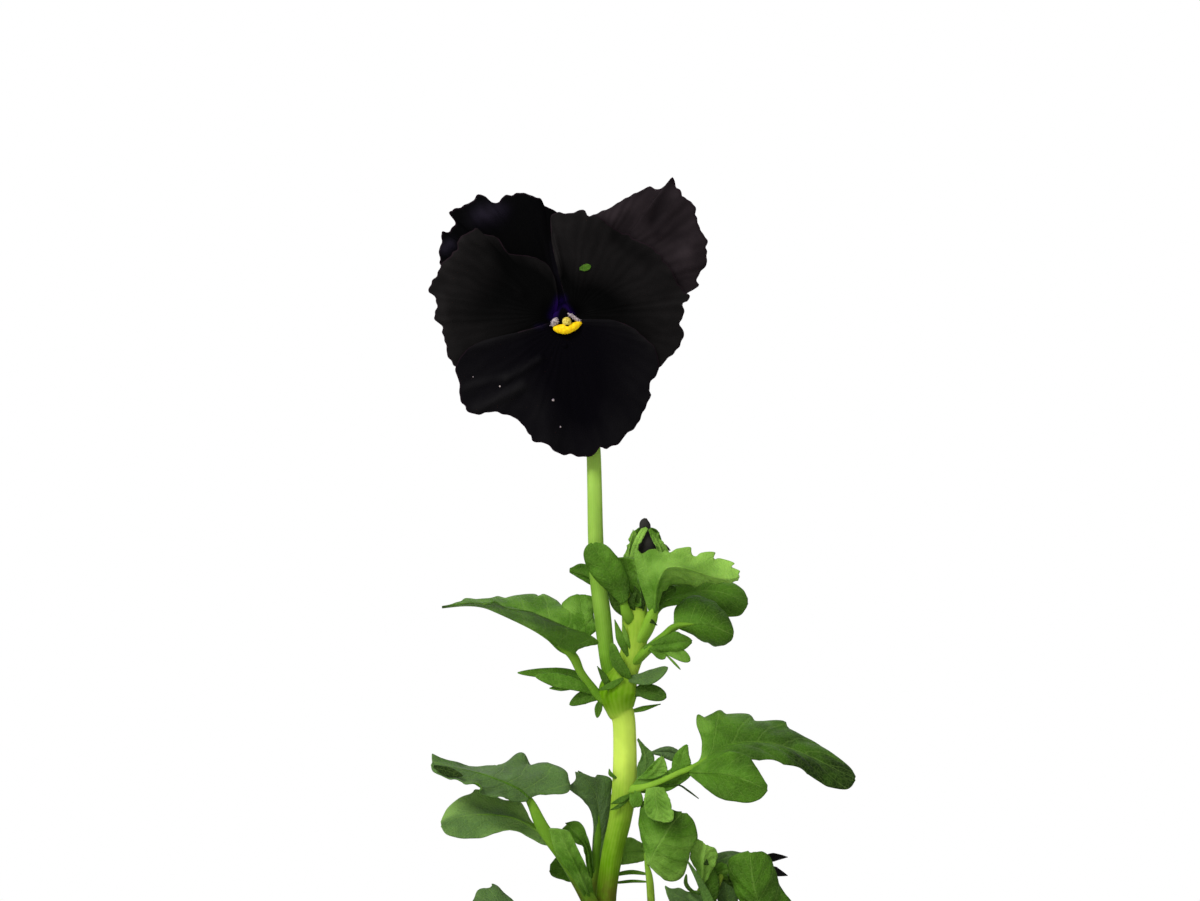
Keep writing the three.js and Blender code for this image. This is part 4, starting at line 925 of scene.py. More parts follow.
LEAF_UPPER_LEFT = Leaf(
    "leaf_upper_left",
    stalk=[(1, 0, 158.6, 1.3), (-3, -0.3, 160.6, 1.1), (-5.5, -0.3, 163.4, 0.95), (-7.6, 0, 166.3, 0.9),
           (-9.5, 0.3, 170, 1.0), (-13.4, 1.1, 172.6, 0.2)],
    blades=[Blade(
        rib=[(-9.4, 0.3, 169.9), (-12.3, 0.9, 171.3), (-15, 1.2, 173.8), (-19, 1.5, 176.2), (-25, 1.5, 179),
             (-29, 1, 180.6), (-33, 0, 181), (-38, -1.4, 180.6)],
        left=[(-8.6, -0.8, 170.8), (-7.4, -2.4, 171.9), (-5.6, -4.2, 172.3), (-3.7, -5.6, 172.8),
              (-4.2, -6.6, 174), (-5.8, -7.6, 175), (-8, -8.8, 176), (-12, -9.6, 177.5), (-15, -10, 178.8),
              (-20, -9.4, 180.2), (-24, -8, 181), (-26.3, -7, 182.2), (-27.4, -6.6, 181.6), (-31, -5, 181.8),
              (-35, -3, 181.3), (-38, -2, 180.8)],
        right=[(-9, 1.4, 171), (-6, 3.6, 173.8), (-3.4, 4.6, 175.8), (-3.2, 5, 176.9), (-4.4, 5.8, 177.2),
               (-5, 8, 180), (-6, 9.6, 181.6), (-9, 10.6, 181), (-11.4, 11.3, 180.6), (-13, 12, 181.9),
               (-15.8, 12.5, 183.1), (-17, 12.6, 182.3), (-18, 13, 182.9), (-22.5, 12.4, 183),
               (-24, 12, 182.3), (-26.2, 11, 182.7), (-28, 10, 181.9), (-30, 8.4, 182.1), (-33, 6, 182.4),
               (-34.4, 4.4, 181.5), (-38, -0.8, 180.7)],
        # Its left edge is darker: painted shade on the near half, whose underside faces forwards in shade.
        tone=(0.52, 0.42), shade=(-0.22, 0.0), dust=(0, 0.06), rows=130, crown=-0.6,
    ), Blade(
        rib=[(-8.4, 1.6, 173.4), (-7.6, 5, 176.6), (-7.4, 7.6, 180), (-7.9, 9.4, 183)],
        left=[(-9, 1.6, 173.6), (-10, 4.6, 176.8), (-11, 7.4, 179.4), (-11.8, 8.6, 181), (-10.2, 9.3, 182.5),
              (-8.4, 9.5, 183.2)],
        right=[(-7.8, 1.8, 173.2), (-5.4, 5.2, 176.4), (-4.7, 8, 179.6), (-4.9, 9.2, 182.4),
               (-6.6, 9.4, 183.1)],
        tone=(0.66, 0.54), shade=(0.04, -0.06), crown=-0.5, rows=40, columns=9, rib_radius=0.1,
    )],
    lobes=[
        Lobe([(-4, 0.4, 161.6), (-8.6, 3, 165.2), (-15, 4, 165.9), (-21.5, 3.4, 166)], 2.9, (0, 0.5, 1),
             tone=0.42, pointed=0.6),
        Lobe([(-4.4, -0.2, 161.8), (-8.4, -2, 163.6), (-12.6, -2.6, 164.7), (-17.6, -2.8, 165.6)], 3.4,
             (0, 0.4, 1), tone=0.46, widest=0.7, pointed=0.7),
        Lobe([(-8, -1.8, 163.2), (-11.4, -2.4, 163.1), (-14.4, -2.6, 162.9)], 1.6, (0, 0.4, 1), tone=0.4,
             pointed=0.8),
        Lobe([(-3.4, -0.2, 160.8), (-6.6, -0.8, 160.9), (-10, -1.2, 159.2)], 3.0, (0, 0.2, 1), tone=0.4,
             pointed=0.5),
        Lobe([(-3, -0.4, 160.4), (-3.6, -1.2, 158.6), (-3.9, -1.6, 156.4)], 1.7, (1, 0.2, 0), tone=0.34,
             pointed=0.4),
    ],
)

LEAF_UPPER_BACK = Leaf(
    "leaf_upper_back", stalk=[(4.6, 1, 177, 0.9), (3.6, 3.6, 180.6, 0.8), (0.2, 6, 183.4, 0.2)],
    blades=[Blade(
        rib=[(2, 4.9, 182.2), (-2, 6.6, 184.8), (-6.2, 7.6, 187.3), (-10.1, 8, 188.5)],
        left=[(2.6, 4.6, 181.6), (-1.6, 6.4, 182.8), (-5.3, 7.4, 185.2), (-10, 8, 188)],
        right=[(1.4, 5.2, 182.8), (-2, 7, 187.6), (-7, 8, 190), (-10, 8.2, 189)],
        tone=(0.3, 0.3), rows=40, columns=8,
    )],
)

LEAF_OBLONG = Leaf(
    "leaf_oblong", stalk=[(4.3, -0.2, 176.4, 0.9), (2.4, -2.7, 179.6, 1.2), (1.4, -3.1, 184.4, 0.2)],
    blades=[Blade(
        rib=[(2, -3.9, 181.8), (0.9, -4.6, 185.2), (-1.6, -6.4, 189.2), (-3.6, -7.4, 192.4),
             (-4.9, -7.7, 194.7)],
        left=[(1.2, -3.9, 181.4), (-1.5, -4.4, 184.2), (-3.3, -5.4, 185.8), (-5, -6.2, 187.8),
              (-6.3, -6.8, 190), (-6.9, -7.2, 192.5), (-6.3, -7.5, 194.2), (-5.2, -7.6, 195)],
        right=[(2.8, -4, 182.4), (3.2, -4.2, 186), (2, -5.6, 189.6), (0.6, -6.8, 191.6), (0, -7, 192.4),
               (-1.2, -7.2, 193.8), (-2.5, -7.4, 194.7), (-4.4, -7.5, 195.1)],
        tone=(0.3, 0.42), crown=-0.8, rows=56, columns=10,
    )],
)

LEAF_CUPPED = Leaf(
    "leaf_cupped", stalk=[(4.6, -0.4, 177.6, 0.8), (5, -1, 179.8, 0.9), (4.6, -1.5, 183.4, 0.2)],
    blades=[Blade(
        rib=[(5.1, -2.3, 180.8), (4.2, -2, 184.8), (3.1, -2, 188.4), (2.3, -3, 191.7)],
        left=[(4.4, -2.6, 180.8), (3.2, -2.9, 184.6), (1.4, -3.2, 188.4), (0.3, -3.6, 191.6)],
        right=[(5.8, -2.8, 181), (5.4, -3.4, 185), (4.7, -3.6, 188.4), (4.2, -3.8, 191.4)],
        tone=(0.3, 0.6), rows=40, columns=8,
    )],
)

LEAF_UPPER_RIGHT = Leaf(
    "leaf_upper_right",
    stalk=[(4.4, -0.4, 172, 1.4, 0.5), (6.6, -1.6, 175.4, 1.5, 0.5), (7.9, -2.6, 178.4, 1.35, 0.5),
           (8.6, -2.8, 181, 0.8, 0.4), (8.9, -3.1, 183, 0.2, 0.4)],
    blades=[Blade(
        rib=[(8.7, -3.4, 179.6), (8.9, -5, 184), (9.9, -6.6, 187.6), (12, -7, 189.8), (16.2, -6.8, 189.2),
             (21, -5.6, 187.6), (25, -4.4, 186.9), (27.2, -3.6, 187.4)],
        left=[(7.2, -3.4, 180.2), (6, -4, 184), (5.1, -4.4, 187), (4.2, -4.6, 190.8), (4.7, -4.6, 193.5),
              (6, -4.3, 192.8), (7.4, -4, 193.5), (9, -3.6, 193.7), (10.2, -3.2, 193), (11, -3, 193.4),
              (12.2, -3, 192.7), (14, -2.8, 193.4), (16.7, -2.4, 194), (17.4, -2.3, 192.3), (19, -2.2, 192.8),
              (22, -2, 192.8), (21.8, -2, 191.5), (23, -2, 191.6), (26.2, -2.6, 190.4), (25.4, -2.6, 189.7),
              (27.4, -3.2, 188.7), (26.8, -3.4, 188), (27.3, -3.6, 187.5)],
        right=[(9.5, -2.8, 180), (10, -2, 183), (11.3, 0, 184.4), (14, 2, 185.2), (20, 2.6, 185.5),
               (25, 0.8, 185.9), (26.9, -2.6, 186.6)],
        tone=(0.42, 0.98), shade=(0.04, 0.04), rows=150, crown=0.5, quilt=0.3, ruffle=0.5,
    )],
)

LEAF_RIGHT_BACK = Leaf(
    "leaf_right_back",
    stalk=[(5, 1, 173, 1), (7.4, 2.8, 177, 0.9), (9.6, 3.8, 180.4, 0.8), (14, 6.3, 182.8, 0.2)],
    blades=[Blade(
        rib=[(9.5, 3.8, 180.5), (13, 6, 182.6), (18, 8, 183.8), (23.5, 8.6, 183.5), (27.5, 8, 182),
             (29.5, 7.4, 181.4)],
        left=[(10, 3.4, 180.2), (13, 3.8, 181.1), (17.4, 4.4, 180.6), (21.4, 5, 179), (25, 5.4, 178.3),
              (27.6, 6, 178.5), (29, 6.8, 180), (29.5, 7.2, 181.2)],
        right=[(9.4, 4.4, 181.2), (13, 8.4, 185.2), (18.5, 11.4, 186.8), (24.2, 12, 186), (26.6, 11, 185.4),
               (28.5, 10, 184.1), (29.4, 8.4, 182.4)],
        tone=(0.3, 0.32), crown=0.8, rows=60, columns=10,
    )],
    lobes=[
        Lobe([(9.4, -1, 181), (10.9, -0.4, 183.4), (13.4, 0.4, 184.9)], 2.6, (0, 0.4, 1), tone=0.08),
        Lobe([(8.8, -1.2, 179.8), (11.4, -0.6, 181.4), (14.4, 0, 181.4)], 1.4, (0, 0.4, 1), tone=0.3,
             pointed=0.6),
    ],
)

LEAF_RIGHT_ROUND = Leaf(
    "leaf_right_round",
    stalk=[(3.6, -0.6, 168, 1.2), (7.6, -3.2, 171.8, 1), (10.8, -3.4, 174.4, 0.95), (13.4, -2.6, 176.5, 0.8),
           (18, -3.5, 177.2, 0.2)],
    blades=[Blade(
        rib=[(13, -2.5, 176.4), (15.6, -3, 177), (18.6, -3.6, 177.2), (21.5, -3.6, 176.6),
             (24.2, -2.8, 175.4), (25.9, -1.6, 174.6)],
        left=[(13.5, -2.8, 176), (14.8, -2.2, 175.7), (17.5, -1, 174.5), (19, 0, 173.4), (21.5, 1.2, 172.3),
              (23.5, 1.2, 172.2), (25.4, -0.6, 173.2), (25.9, -1.4, 174.4)],
        right=[(12.9, -2, 177.4), (13.1, 0, 180), (14.5, 1.4, 181.6), (17, 2.6, 182.9), (20, 2.8, 182.6),
               (22.5, 2, 181), (25, 0, 178.3), (26.1, -1.4, 175.4)],
        tone=(0.42, 0.2), crown=0.8, rows=70, columns=12,
    ), Blade(
        rib=[(6.4, -3.4, 171.8), (10.6, -5, 172.6), (14.4, -6, 173.2), (16.8, -6, 173.3)],
        left=[(6.6, -3.4, 171.2), (10.4, -5.2, 171), (14.2, -5.7, 171.4), (15.6, -5.9, 171.9),
              (16.7, -6, 173)],
        right=[(6.6, -3.2, 172.4), (9, -4, 173.5), (13, -5.2, 175.4), (14.6, -5.5, 174.9),
               (16.2, -5.8, 174.2), (16.8, -5.9, 173.5)],
        tone=(0.46, 0.36), rows=40, columns=7,
    )],
    lobes=[
        Lobe([(9, -4.8, 172.2), (13, -5.7, 171.1), (16.4, -6.1, 169.1)], 2.8, (0, 0.2, 1)),
        Lobe([(7.6, -4, 171.8), (9.6, -5, 171), (10.9, -5.4, 169.6)], 2.6, (1, 0, 0.4)),
        Lobe([(10.6, -5.2, 171), (12.6, -5.6, 169), (14.3, -5.8, 167.2)], 0.5, (1, 0, 0.4)),
    ],
)

LEAF_MIDDLE_LEFT = Leaf(
    "leaf_middle_left",
    stalk=[(-2.2, -1, 110, 1.5), (-6.6, -4.4, 118.6, 1.4), (-11.3, -5.4, 126, 1.4), (-15.8, -5.6, 132.4, 1.4),
           (-18.3, -4.5, 137.6, 0.95), (-20.2, -4.6, 140.2, 0.5), (-23, -5.4, 142, 0.2)],
    blades=[Blade(
        rib=[(-18.8, -5.3, 138.9), (-20.8, -5.8, 140.8), (-23.4, -6.4, 142.2), (-26.4, -7, 143.4),
             (-30, -7, 144.6), (-36, -6.8, 146), (-40, -6, 147)],
        left=[(-19.4, -6.4, 138.4), (-22.3, -8.6, 138.5), (-23.5, -10, 139.5), (-26, -12, 140.2),
              (-29, -13.2, 140.8), (-28.8, -13.3, 141.9), (-33, -12, 143.5), (-36, -10.4, 143.9),
              (-39.5, -7.4, 144.8), (-40.2, -6.8, 146.2)],
        right=[(-18, -4.8, 139.6), (-15, -5, 140), (-12, -4.6, 139.8), (-10.3, -4, 140.3),
               (-9.7, -2.6, 141.6), (-10.2, -1, 143), (-10.6, 0, 144.4), (-12.5, 1.6, 146), (-15, 3, 146.6),
               (-17.2, 4.6, 146.4), (-18.4, 5.2, 145.7), (-20, 6.2, 147.4), (-21, 6.4, 147.8),
               (-23, 6.2, 147.1), (-25, 5.6, 146.1), (-30, 2, 145.6), (-35, -2, 146.8), (-38, -4.2, 147.8),
               (-40.1, -5, 148.7)],
        tone=(0.34, 0.36), dust=(1, 0), rows=130, crown=0.5, quilt=0.4, ruffle=0.6,
    ), Blade(
        rib=[(-5.4, -4.2, 116.8), (-7, -7.8, 120.8), (-8.8, -9.2, 125), (-10.8, -9.4, 129),
             (-12.4, -9.5, 132.8)],
        left=[(-6, -4.4, 116.4), (-8.2, -7.6, 120.2), (-11, -8.8, 124.5), (-13, -9, 127.5),
              (-14.2, -9, 131.5), (-14.5, -9.2, 132.8)],
        right=[(-4.8, -4, 117.2), (-5, -6, 120.8), (-6.6, -8.6, 125), (-8, -9, 128), (-9.5, -9, 131.4),
               (-10.3, -9.2, 132.3)],
        tone=(0.42, 0.62), rows=50, columns=9,
    )],
    lobes=[
        Lobe([(-39.5, -8.6, 146.2), (-36.5, -10, 145.3), (-33.2, -11.2, 144.4)], 2.0, (0, 0, 1), tone=-0.15,
             pointed=0.5),
    ],
)

LEAF_LOW_LEFT = Leaf(
    "leaf_low_left",
    stalk=[(-2.4, 0.7, 107.5, 1.3), (-7.2, -0.2, 117.8, 1.2), (-12, -1.8, 126.2, 1.2),
           (-17, -1.3, 131.7, 0.8), (-22.4, -2.3, 134.4, 0.2)],
    blades=[Blade(
        rib=[(-14.2, -2, 129.4), (-17.4, -2.2, 131.8), (-21.6, -3, 134.2), (-26, -4.2, 135.2),
             (-31, -5, 135.3), (-35.2, -5.8, 134.6), (-38, -6.6, 133.4)],
        left=[(-14.8, -2.8, 128.4), (-16.5, -3.4, 129), (-19.5, -4.2, 130.8), (-22, -5.4, 132.2),
              (-24, -6.2, 132.3), (-28, -7.4, 130.9), (-32, -8, 130.5), (-35, -8, 130.8), (-37, -7.6, 131.5),
              (-38, -6.9, 133)],
        right=[(-13.4, -1.4, 130.2), (-16, -1, 132), (-18, -0.4, 133), (-19.4, 0, 135.6), (-21, 0.4, 138),
               (-24.5, 1.2, 138.3), (-28.5, 1.6, 140), (-30.8, 1.4, 140.6), (-31.8, 1, 139.6),
               (-34.5, -0.4, 138.6), (-36.6, -2.2, 136.8), (-37.7, -4, 135), (-38.1, -5.6, 133.8)],
        # Its right edge is lighter: painted light on the part that lies in the shadow of leaf_middle_left.
        tone=(0.6, 0.42), shade=(0.1, 0.75), dust=(1, 0.3), crown=0.5,
    )],
)

LEAF_BY_STEM = Leaf(
    "leaf_by_stem",
    stalk=[(-1.8, 1.4, 106, 1.1), (-4.3, 4, 117, 1.1), (-4.2, 4.4, 125, 1), (-3.8, 4, 130, 0.8),
           (-3.7, 3.7, 135.6, 0.2)],
    blades=[Blade(
        rib=[(-4.2, 4.3, 120), (-3.9, 4.2, 126), (-3.6, 3.9, 133.4), (-4.2, 3, 138.8), (-5.6, 1.6, 141.5),
             (-7, 0.6, 144)],
        left=[(-5.4, 4, 120), (-5.1, 4, 126), (-4.7, 3.8, 132), (-5.3, 3.2, 135.5), (-7, 2.2, 138),
              (-9.5, 1.5, 140), (-10.3, 1.4, 140.9), (-8.7, 1, 142.6), (-8.8, 0.6, 144.4)],
        right=[(-3, 4.5, 120), (-2.4, 4.5, 126), (-1.2, 4.5, 133), (-0.8, 4, 139.2), (-0.8, 3.4, 142.6),
               (-3.8, 2.6, 143.6), (-4.4, 2.2, 143), (-6.5, 0.8, 143.8), (-8.2, 0.6, 144.5)],
        tone=(0.34, 0.2), dust=(1, 0), crown=-0.5, rows=70, columns=10,
    ), Blade(
        rib=[(-4.8, 4.2, 119.4), (-5.6, 2.6, 123.6), (-6.1, 1.4, 127.2), (-7.7, 0.8, 129.8),
             (-10.5, 1.4, 132.8)],
        left=[(-5.4, 4, 118.6), (-6.3, 2.6, 123.6), (-6.9, 1.6, 127.3), (-9, 1.4, 128.9),
              (-11.6, 1.8, 131.8)],
        right=[(-4.2, 4.4, 120), (-4.9, 2.6, 123.6), (-5.3, 1.6, 127.2), (-6.4, 1.2, 131), (-7.5, 1.4, 133),
               (-9, 1.5, 133.5), (-11, 1.6, 133)],
        tone=(0.4, 0.42), rows=50, columns=8,
    ), Blade(
        rib=[(-4.2, 4.2, 116.4), (-8.2, 6, 120.6), (-11.6, 7, 122.4), (-14.4, 6.4, 122.2)],
        left=[(-4, 4, 115.2), (-6.5, 4.6, 117.3), (-9.5, 5.2, 119.5), (-11.6, 5.6, 120.2),
              (-13.8, 6.2, 120.8), (-14.5, 6.4, 121.9)],
        right=[(-4.4, 4.4, 117.6), (-8.2, 6.8, 123.4), (-11.8, 7.6, 125), (-13, 7.3, 124.9),
               (-14.3, 6.8, 123.4)],
        tone=(0.3, 0.34), crown=0.5, rows=50, columns=9,
    )],
)

LEAF_BOTTOM_LEFT = Leaf(
    "leaf_bottom_left",
    stalk=[(-12.2, -4.8, 101.6, 1.2), (-14, -6, 105.4, 1.1), (-17, -7.2, 109.2, 1), (-21, -8.6, 112, 0.2)],
    blades=[Blade(
        rib=[(-16, -7, 108.4), (-19.6, -8, 111.4), (-23.6, -9.5, 113.4), (-27.8, -10, 114.4),
             (-31.4, -10.5, 114), (-33.2, -10.8, 112.8)],
        left=[(-16, -8.2, 107.4), (-19.6, -11, 109.6), (-23.4, -12.4, 110.6), (-27.4, -12.8, 111),
              (-31, -12, 111.4), (-33, -11.2, 112.2)],
        right=[(-16, -5.8, 109.4), (-18.8, -4, 113.6), (-21.5, -3.4, 116), (-24, -3, 118), (-26.8, -3, 120.1),
               (-27.3, -3.2, 119.5), (-30, -4.6, 118.9), (-31.3, -5.6, 116.4), (-33, -9, 114)],
        tone=(0.25, 0.3), dust=(1, 0), rows=60, columns=10,
    )],
)

LEAF_MIDDLE_RIGHT = Leaf(
    "leaf_middle_right",
    stalk=[(2.6, -1, 140.4, 1.2, 0.36), (6.2, -3.2, 141.2, 0.75, 0.44), (10, -4, 142.6, 0.6, 0.4),
           (14, -4.6, 144.5, 0.6, 0.4), (17.4, -4.6, 145.9, 0.6, 0.36), (22.4, -3.7, 149.2, 0.2, 0.2)],
    blades=[Blade(
        rib=[(16.8, -4.2, 145.6), (19.6, -4.2, 147.3), (21.6, -3.8, 148.9), (24.2, -3.2, 150.1),
             (29.4, -2.2, 150.9), (36, -1.2, 150.2), (43, 0, 147.6), (49, -0.2, 144.6), (52.7, -1, 142.9)],
        left=[(17.4, -4.8, 145.2), (20.4, -6.6, 146.3), (24, -9, 147.2), (29, -9.6, 147.4), (34, -8.4, 147.3),
              (38, -7.2, 146.3), (41, -6, 144.9), (44, -5, 142.8), (46.5, -4, 141.4), (50.2, -2.8, 140.7),
              (51.8, -2, 141.2), (52.8, -1.2, 142.6)],
        right=[(17.2, -3.6, 146.3), (19, -2.6, 147), (20, -1, 150), (19, 0, 152.5), (18, 1, 154.5),
               (18, 2, 156.6), (18.6, 2.3, 156.8), (19.4, 2.8, 156), (21.5, 4, 156.7), (23, 4.8, 157.4),
               (24.6, 5.6, 156.6), (29.5, 7.6, 156.3), (30.3, 7.8, 155.2), (33, 8, 155), (37.2, 7.8, 154.8),
               (37.9, 7.6, 153.7), (41, 6.8, 151.9), (44.3, 5.8, 150.2), (48, 4, 148.1), (51.7, 1.6, 145.3),
               (52.9, 0, 143.4)],
        tone=(0.52, -0.02), shade=(-0.16, 0.08), quilt=0.45, ruffle=0.2, rows=130, crown=0.6,
    ), Blade(
        rib=[(16.4, -5, 144.8), (20, -8.6, 144.9), (24.4, -11.8, 144.8), (28.5, -13, 143.6),
             (31.3, -12.4, 142.3), (33, -11.9, 141.7)],
        left=[(16.6, -4.6, 145.5), (20.4, -7.6, 147.2), (24.2, -11.4, 149.6), (26.6, -12.4, 149.5),
              (29, -12.6, 148.6), (30.8, -12.5, 146.2), (32, -12.1, 144.2), (33.1, -11.8, 142.4)],
        right=[(16.2, -5, 144.1), (18.5, -8, 142.4), (21, -10, 140.4), (23.5, -11, 139.2),
               (28.5, -11.8, 138.5), (31, -11.8, 139.1), (32.3, -11.7, 140.1), (33.1, -11.7, 141.2)],
        tone=(0.42, 0.3), crown=0.3, rows=70, columns=12,
    ), Blade(
        rib=[(4, -2.2, 141.2), (7.6, -3, 141.8), (11, -3.6, 143.1), (14, -4.1, 144.5), (17, -4.2, 145.8)],
        left=[(4, -2.2, 142), (5.4, -2.6, 143.6), (8.4, -2.8, 144.6), (11.2, -3.2, 144.9), (13, -3.5, 145.8),
              (16.8, -4, 146.4)],
        right=[(4.2, -2.4, 140.2), (6.8, -3.2, 140), (11.2, -3.8, 140.4), (13.9, -4.2, 141.8),
               (16.1, -4.4, 143.4), (17.2, -4.3, 145)],
        tone=(0.6, 0.52), shade=(0.04, -0.14), dust=(0, 0.3), rows=50, columns=9, rib_radius=0.1,
    ), Blade(
        rib=[(14, -4, 144.4), (14.4, -3.6, 147), (15, -3, 149.2), (15.8, -2.7, 150.6)],
        left=[(12.4, -3.6, 144.6), (12.6, -3.2, 147.2), (13.9, -2.8, 149.4), (15.6, -2.6, 150.6)],
        right=[(15.6, -4.3, 145), (16.6, -4, 146.6), (16.2, -3.2, 148.4), (16, -2.8, 150.4)],
        tone=(0.5, 0.56), crown=-0.4, rows=36, columns=7, rib_radius=0.1,
    ), Blade(
        rib=[(6.6, -2.9, 143), (8.4, -3.1, 144.9), (9.8, -3.1, 146.8), (10.4, -3.1, 148.1)],
        left=[(5, -2.7, 143), (7.2, -2.9, 145.4), (9.2, -3, 147.4), (10.3, -3.1, 148.1)],
        right=[(8.2, -3, 143), (11.2, -3.4, 144.4), (11.2, -3.4, 146.2), (10.6, -3.2, 147.9)],
        tone=(0.6, 0.7), rows=36, columns=7, rib_radius=0.1,
    ), Blade(
        rib=[(6.2, -2, 143.2), (6.6, -1.8, 146.4), (6.4, -1.6, 149), (5, -1.4, 151.8)],
        left=[(4.8, -2.1, 143.2), (4.9, -1.9, 145.8), (5.7, -1.7, 147.6), (5.8, -1.6, 149.2),
              (4.9, -1.4, 151.5)],
        right=[(7.8, -2.2, 144), (8.6, -2, 146.6), (8.3, -1.8, 148.7), (7, -1.6, 149.8), (5.1, -1.4, 151.8)],
        tone=(0.5, 0.34), dust=(0.5, 0), crown=0.3, rows=40, columns=7, rib_radius=0.1,
    ), Blade(
        rib=[(8.6, -4, 141.4), (8.8, -6.6, 139), (9.2, -8, 136.6), (9.8, -8.4, 134.2)],
        left=[(6.8, -3.8, 141), (6.4, -6.2, 138.8), (6.4, -7.6, 137), (6.9, -8, 135.6), (8.2, -8.4, 134.6),
              (9.4, -8.5, 134.3)],
        right=[(10.8, -4.2, 141.2), (11.8, -6.2, 139), (12.4, -7.4, 137), (12.8, -8.2, 135.4),
               (12.3, -8.5, 134.2), (10.6, -8.5, 134)],
        tone=(0.66, 0.68), crown=-0.5, quilt=0.3, ruffle=0.5, rows=44, columns=9, rib_radius=0.1,
    ), Blade(
        rib=[(13.9, -2.6, 148.4), (12, -2.2, 149), (10.1, -2, 149), (8.2, -1.9, 148.8)],
        left=[(14.2, -2.6, 149.2), (12.2, -2.2, 150.1), (10.2, -2, 149.9), (8.2, -1.8, 149)],
        right=[(13.4, -2.8, 146.6), (11.8, -2.4, 147.2), (10, -2.2, 148), (8.4, -2, 148.4)],
        tone=(0.14, 0.2), dust=(1, 0), rows=30, columns=6, rib_radius=0.1,
    )],
    lobes=[
        Lobe([(4.8, -2.8, 141), (5, -3.8, 139), (4.8, -4.2, 137)], 2.4, (1, 0, 0), tone=0.38, widest=0.75),
        Lobe([(11, -4, 141.9), (14, -4.4, 141.8), (16, -4.6, 140.6), (18.3, -4.8, 138.9)], 0.4, (0, 0, 1),
             tone=0.05),
    ],
)

LEAF_LOW_FRONT = Leaf(
    "leaf_low_front",
    stalk=[(11.4, -0.6, 95, 0.9, 0.3), (9, -4.6, 104, 0.85, 0.4), (8, -5.4, 114, 0.85, 0.5),
           (7.5, -5.2, 121, 0.8, 0.5), (6.9, -4.8, 124.4, 0.5, 0.4), (6.5, -4.5, 127, 0.15, 0.3)],
    blades=[Blade(
        rib=[(7.4, -5.3, 124.4), (8.7, -6, 127.6), (10.4, -6.4, 130.4), (12, -6.2, 132.8), (14.6, -5, 135.8)],
        left=[(7, -5.1, 124.4), (6.4, -4.6, 127.5), (5.7, -4, 130), (5.1, -3.8, 132.6), (5.2, -3.6, 135),
              (6.3, -3.6, 138.5), (8.4, -3.7, 139.2), (10.6, -3.9, 137.6), (12.6, -4.4, 136.3),
              (14.6, -4.7, 136)],
        right=[(8, -5.1, 123.8), (8.8, -4.8, 122.8), (10, -4.4, 121.8), (11, -4.2, 120.9), (13, -4, 120.7),
               (14.6, -3.8, 121.4), (15.6, -3.8, 123.2), (16.5, -3.8, 127), (18, -3.8, 129.7),
               (18, -3.9, 131.6), (17.2, -4.1, 134), (15.8, -4.6, 135.7)],
        # Its right edge is lighter: painted light on the right half, which faces down into shade.
        tone=(0.74, 0.1), shade=(-0.06, 0.26), crown=-0.5, quilt=0.3, rib_radius=0.1,
    )],
)

LEAF_LOW_YELLOW = Leaf(
    "leaf_low_yellow", stalk=[(16.4, -0.8, 111, 1.1), (17.4, -1.2, 115.6, 0.8), (19.2, -1.7, 120.4, 0.2)],
    blades=[Blade(
        rib=[(19.2, -1.3, 118.4), (19.2, -1.8, 122), (19.3, -2.2, 125.4), (19.8, -2, 128.6)],
        left=[(18.8, -1, 118.6), (18.3, -0.8, 121.6), (16.9, -0.8, 124.4), (16.5, -0.8, 127),
              (17.8, -1.2, 129.7), (19.2, -1.4, 129.2)],
        right=[(18.4, -1.2, 118.2), (20.4, -1.2, 121), (22.2, -1.2, 124.5), (22.6, -1.2, 126.4),
               (21.9, -1.4, 127.8), (20.3, -1.5, 128.3)],
        tone=(0.5, 0.82), quilt=0.1, rows=44, columns=9, rib_radius=0.1,
    )],
    lobes=[
        Lobe([(20, -2.6, 124.2), (20.05, -2.6, 124.8), (20.1, -2.5, 125.5)], 1.2, (1, 0, 0), tone=-0.5,
             widest=0.1, pointed=1),
        Lobe([(20.8, 0.2, 114.6), (20.8, -0.1, 118.6), (20.9, -0.2, 123.4)], 4.4, (1, 0, 0), tone=0.26),
    ],
)

LEAF_LOW_RIGHT = Leaf(
    "leaf_low_right",
    stalk=[(13, -0.6, 100, 1.2), (21, -3, 98.6, 1.1), (29, -4.6, 100.4, 1.1), (33, -5.2, 105.6, 0.9),
           (32.1, -6.8, 111.4, 0.2)],
    blades=[Blade(
        rib=[(33, -5.1, 104.2), (32.3, -6.6, 109.8), (31.2, -7.4, 115.6), (30.2, -8, 120.4),
             (29.6, -8.2, 124.2), (29.4, -7.8, 127.4)],
        left=[(32, -4.8, 104.4), (28.4, -4.6, 109), (27.5, -4.8, 114), (27, -4.8, 117.4), (26.2, -5, 118.8),
              (25.4, -5.2, 120.2), (24.9, -5.4, 122), (24.6, -5.8, 124.4), (25.2, -6.2, 126.1),
              (27.5, -7, 127.3), (29, -7.6, 127.7)],
        right=[(34, -4.8, 104.4), (38.8, -4.4, 109.2), (39.8, -4.4, 113), (39, -4.4, 116),
               (37.4, -4.6, 117.6), (36.6, -4.7, 119.4), (35.8, -4.8, 121.2), (35, -5, 123.8),
               (34, -5.8, 126.1), (32.2, -6.6, 127.5), (30.4, -7.4, 127.3)],
        tone=(0.2, 0.32), crown=-0.6, quilt=0.4, ruffle=0.5,
    )],
)

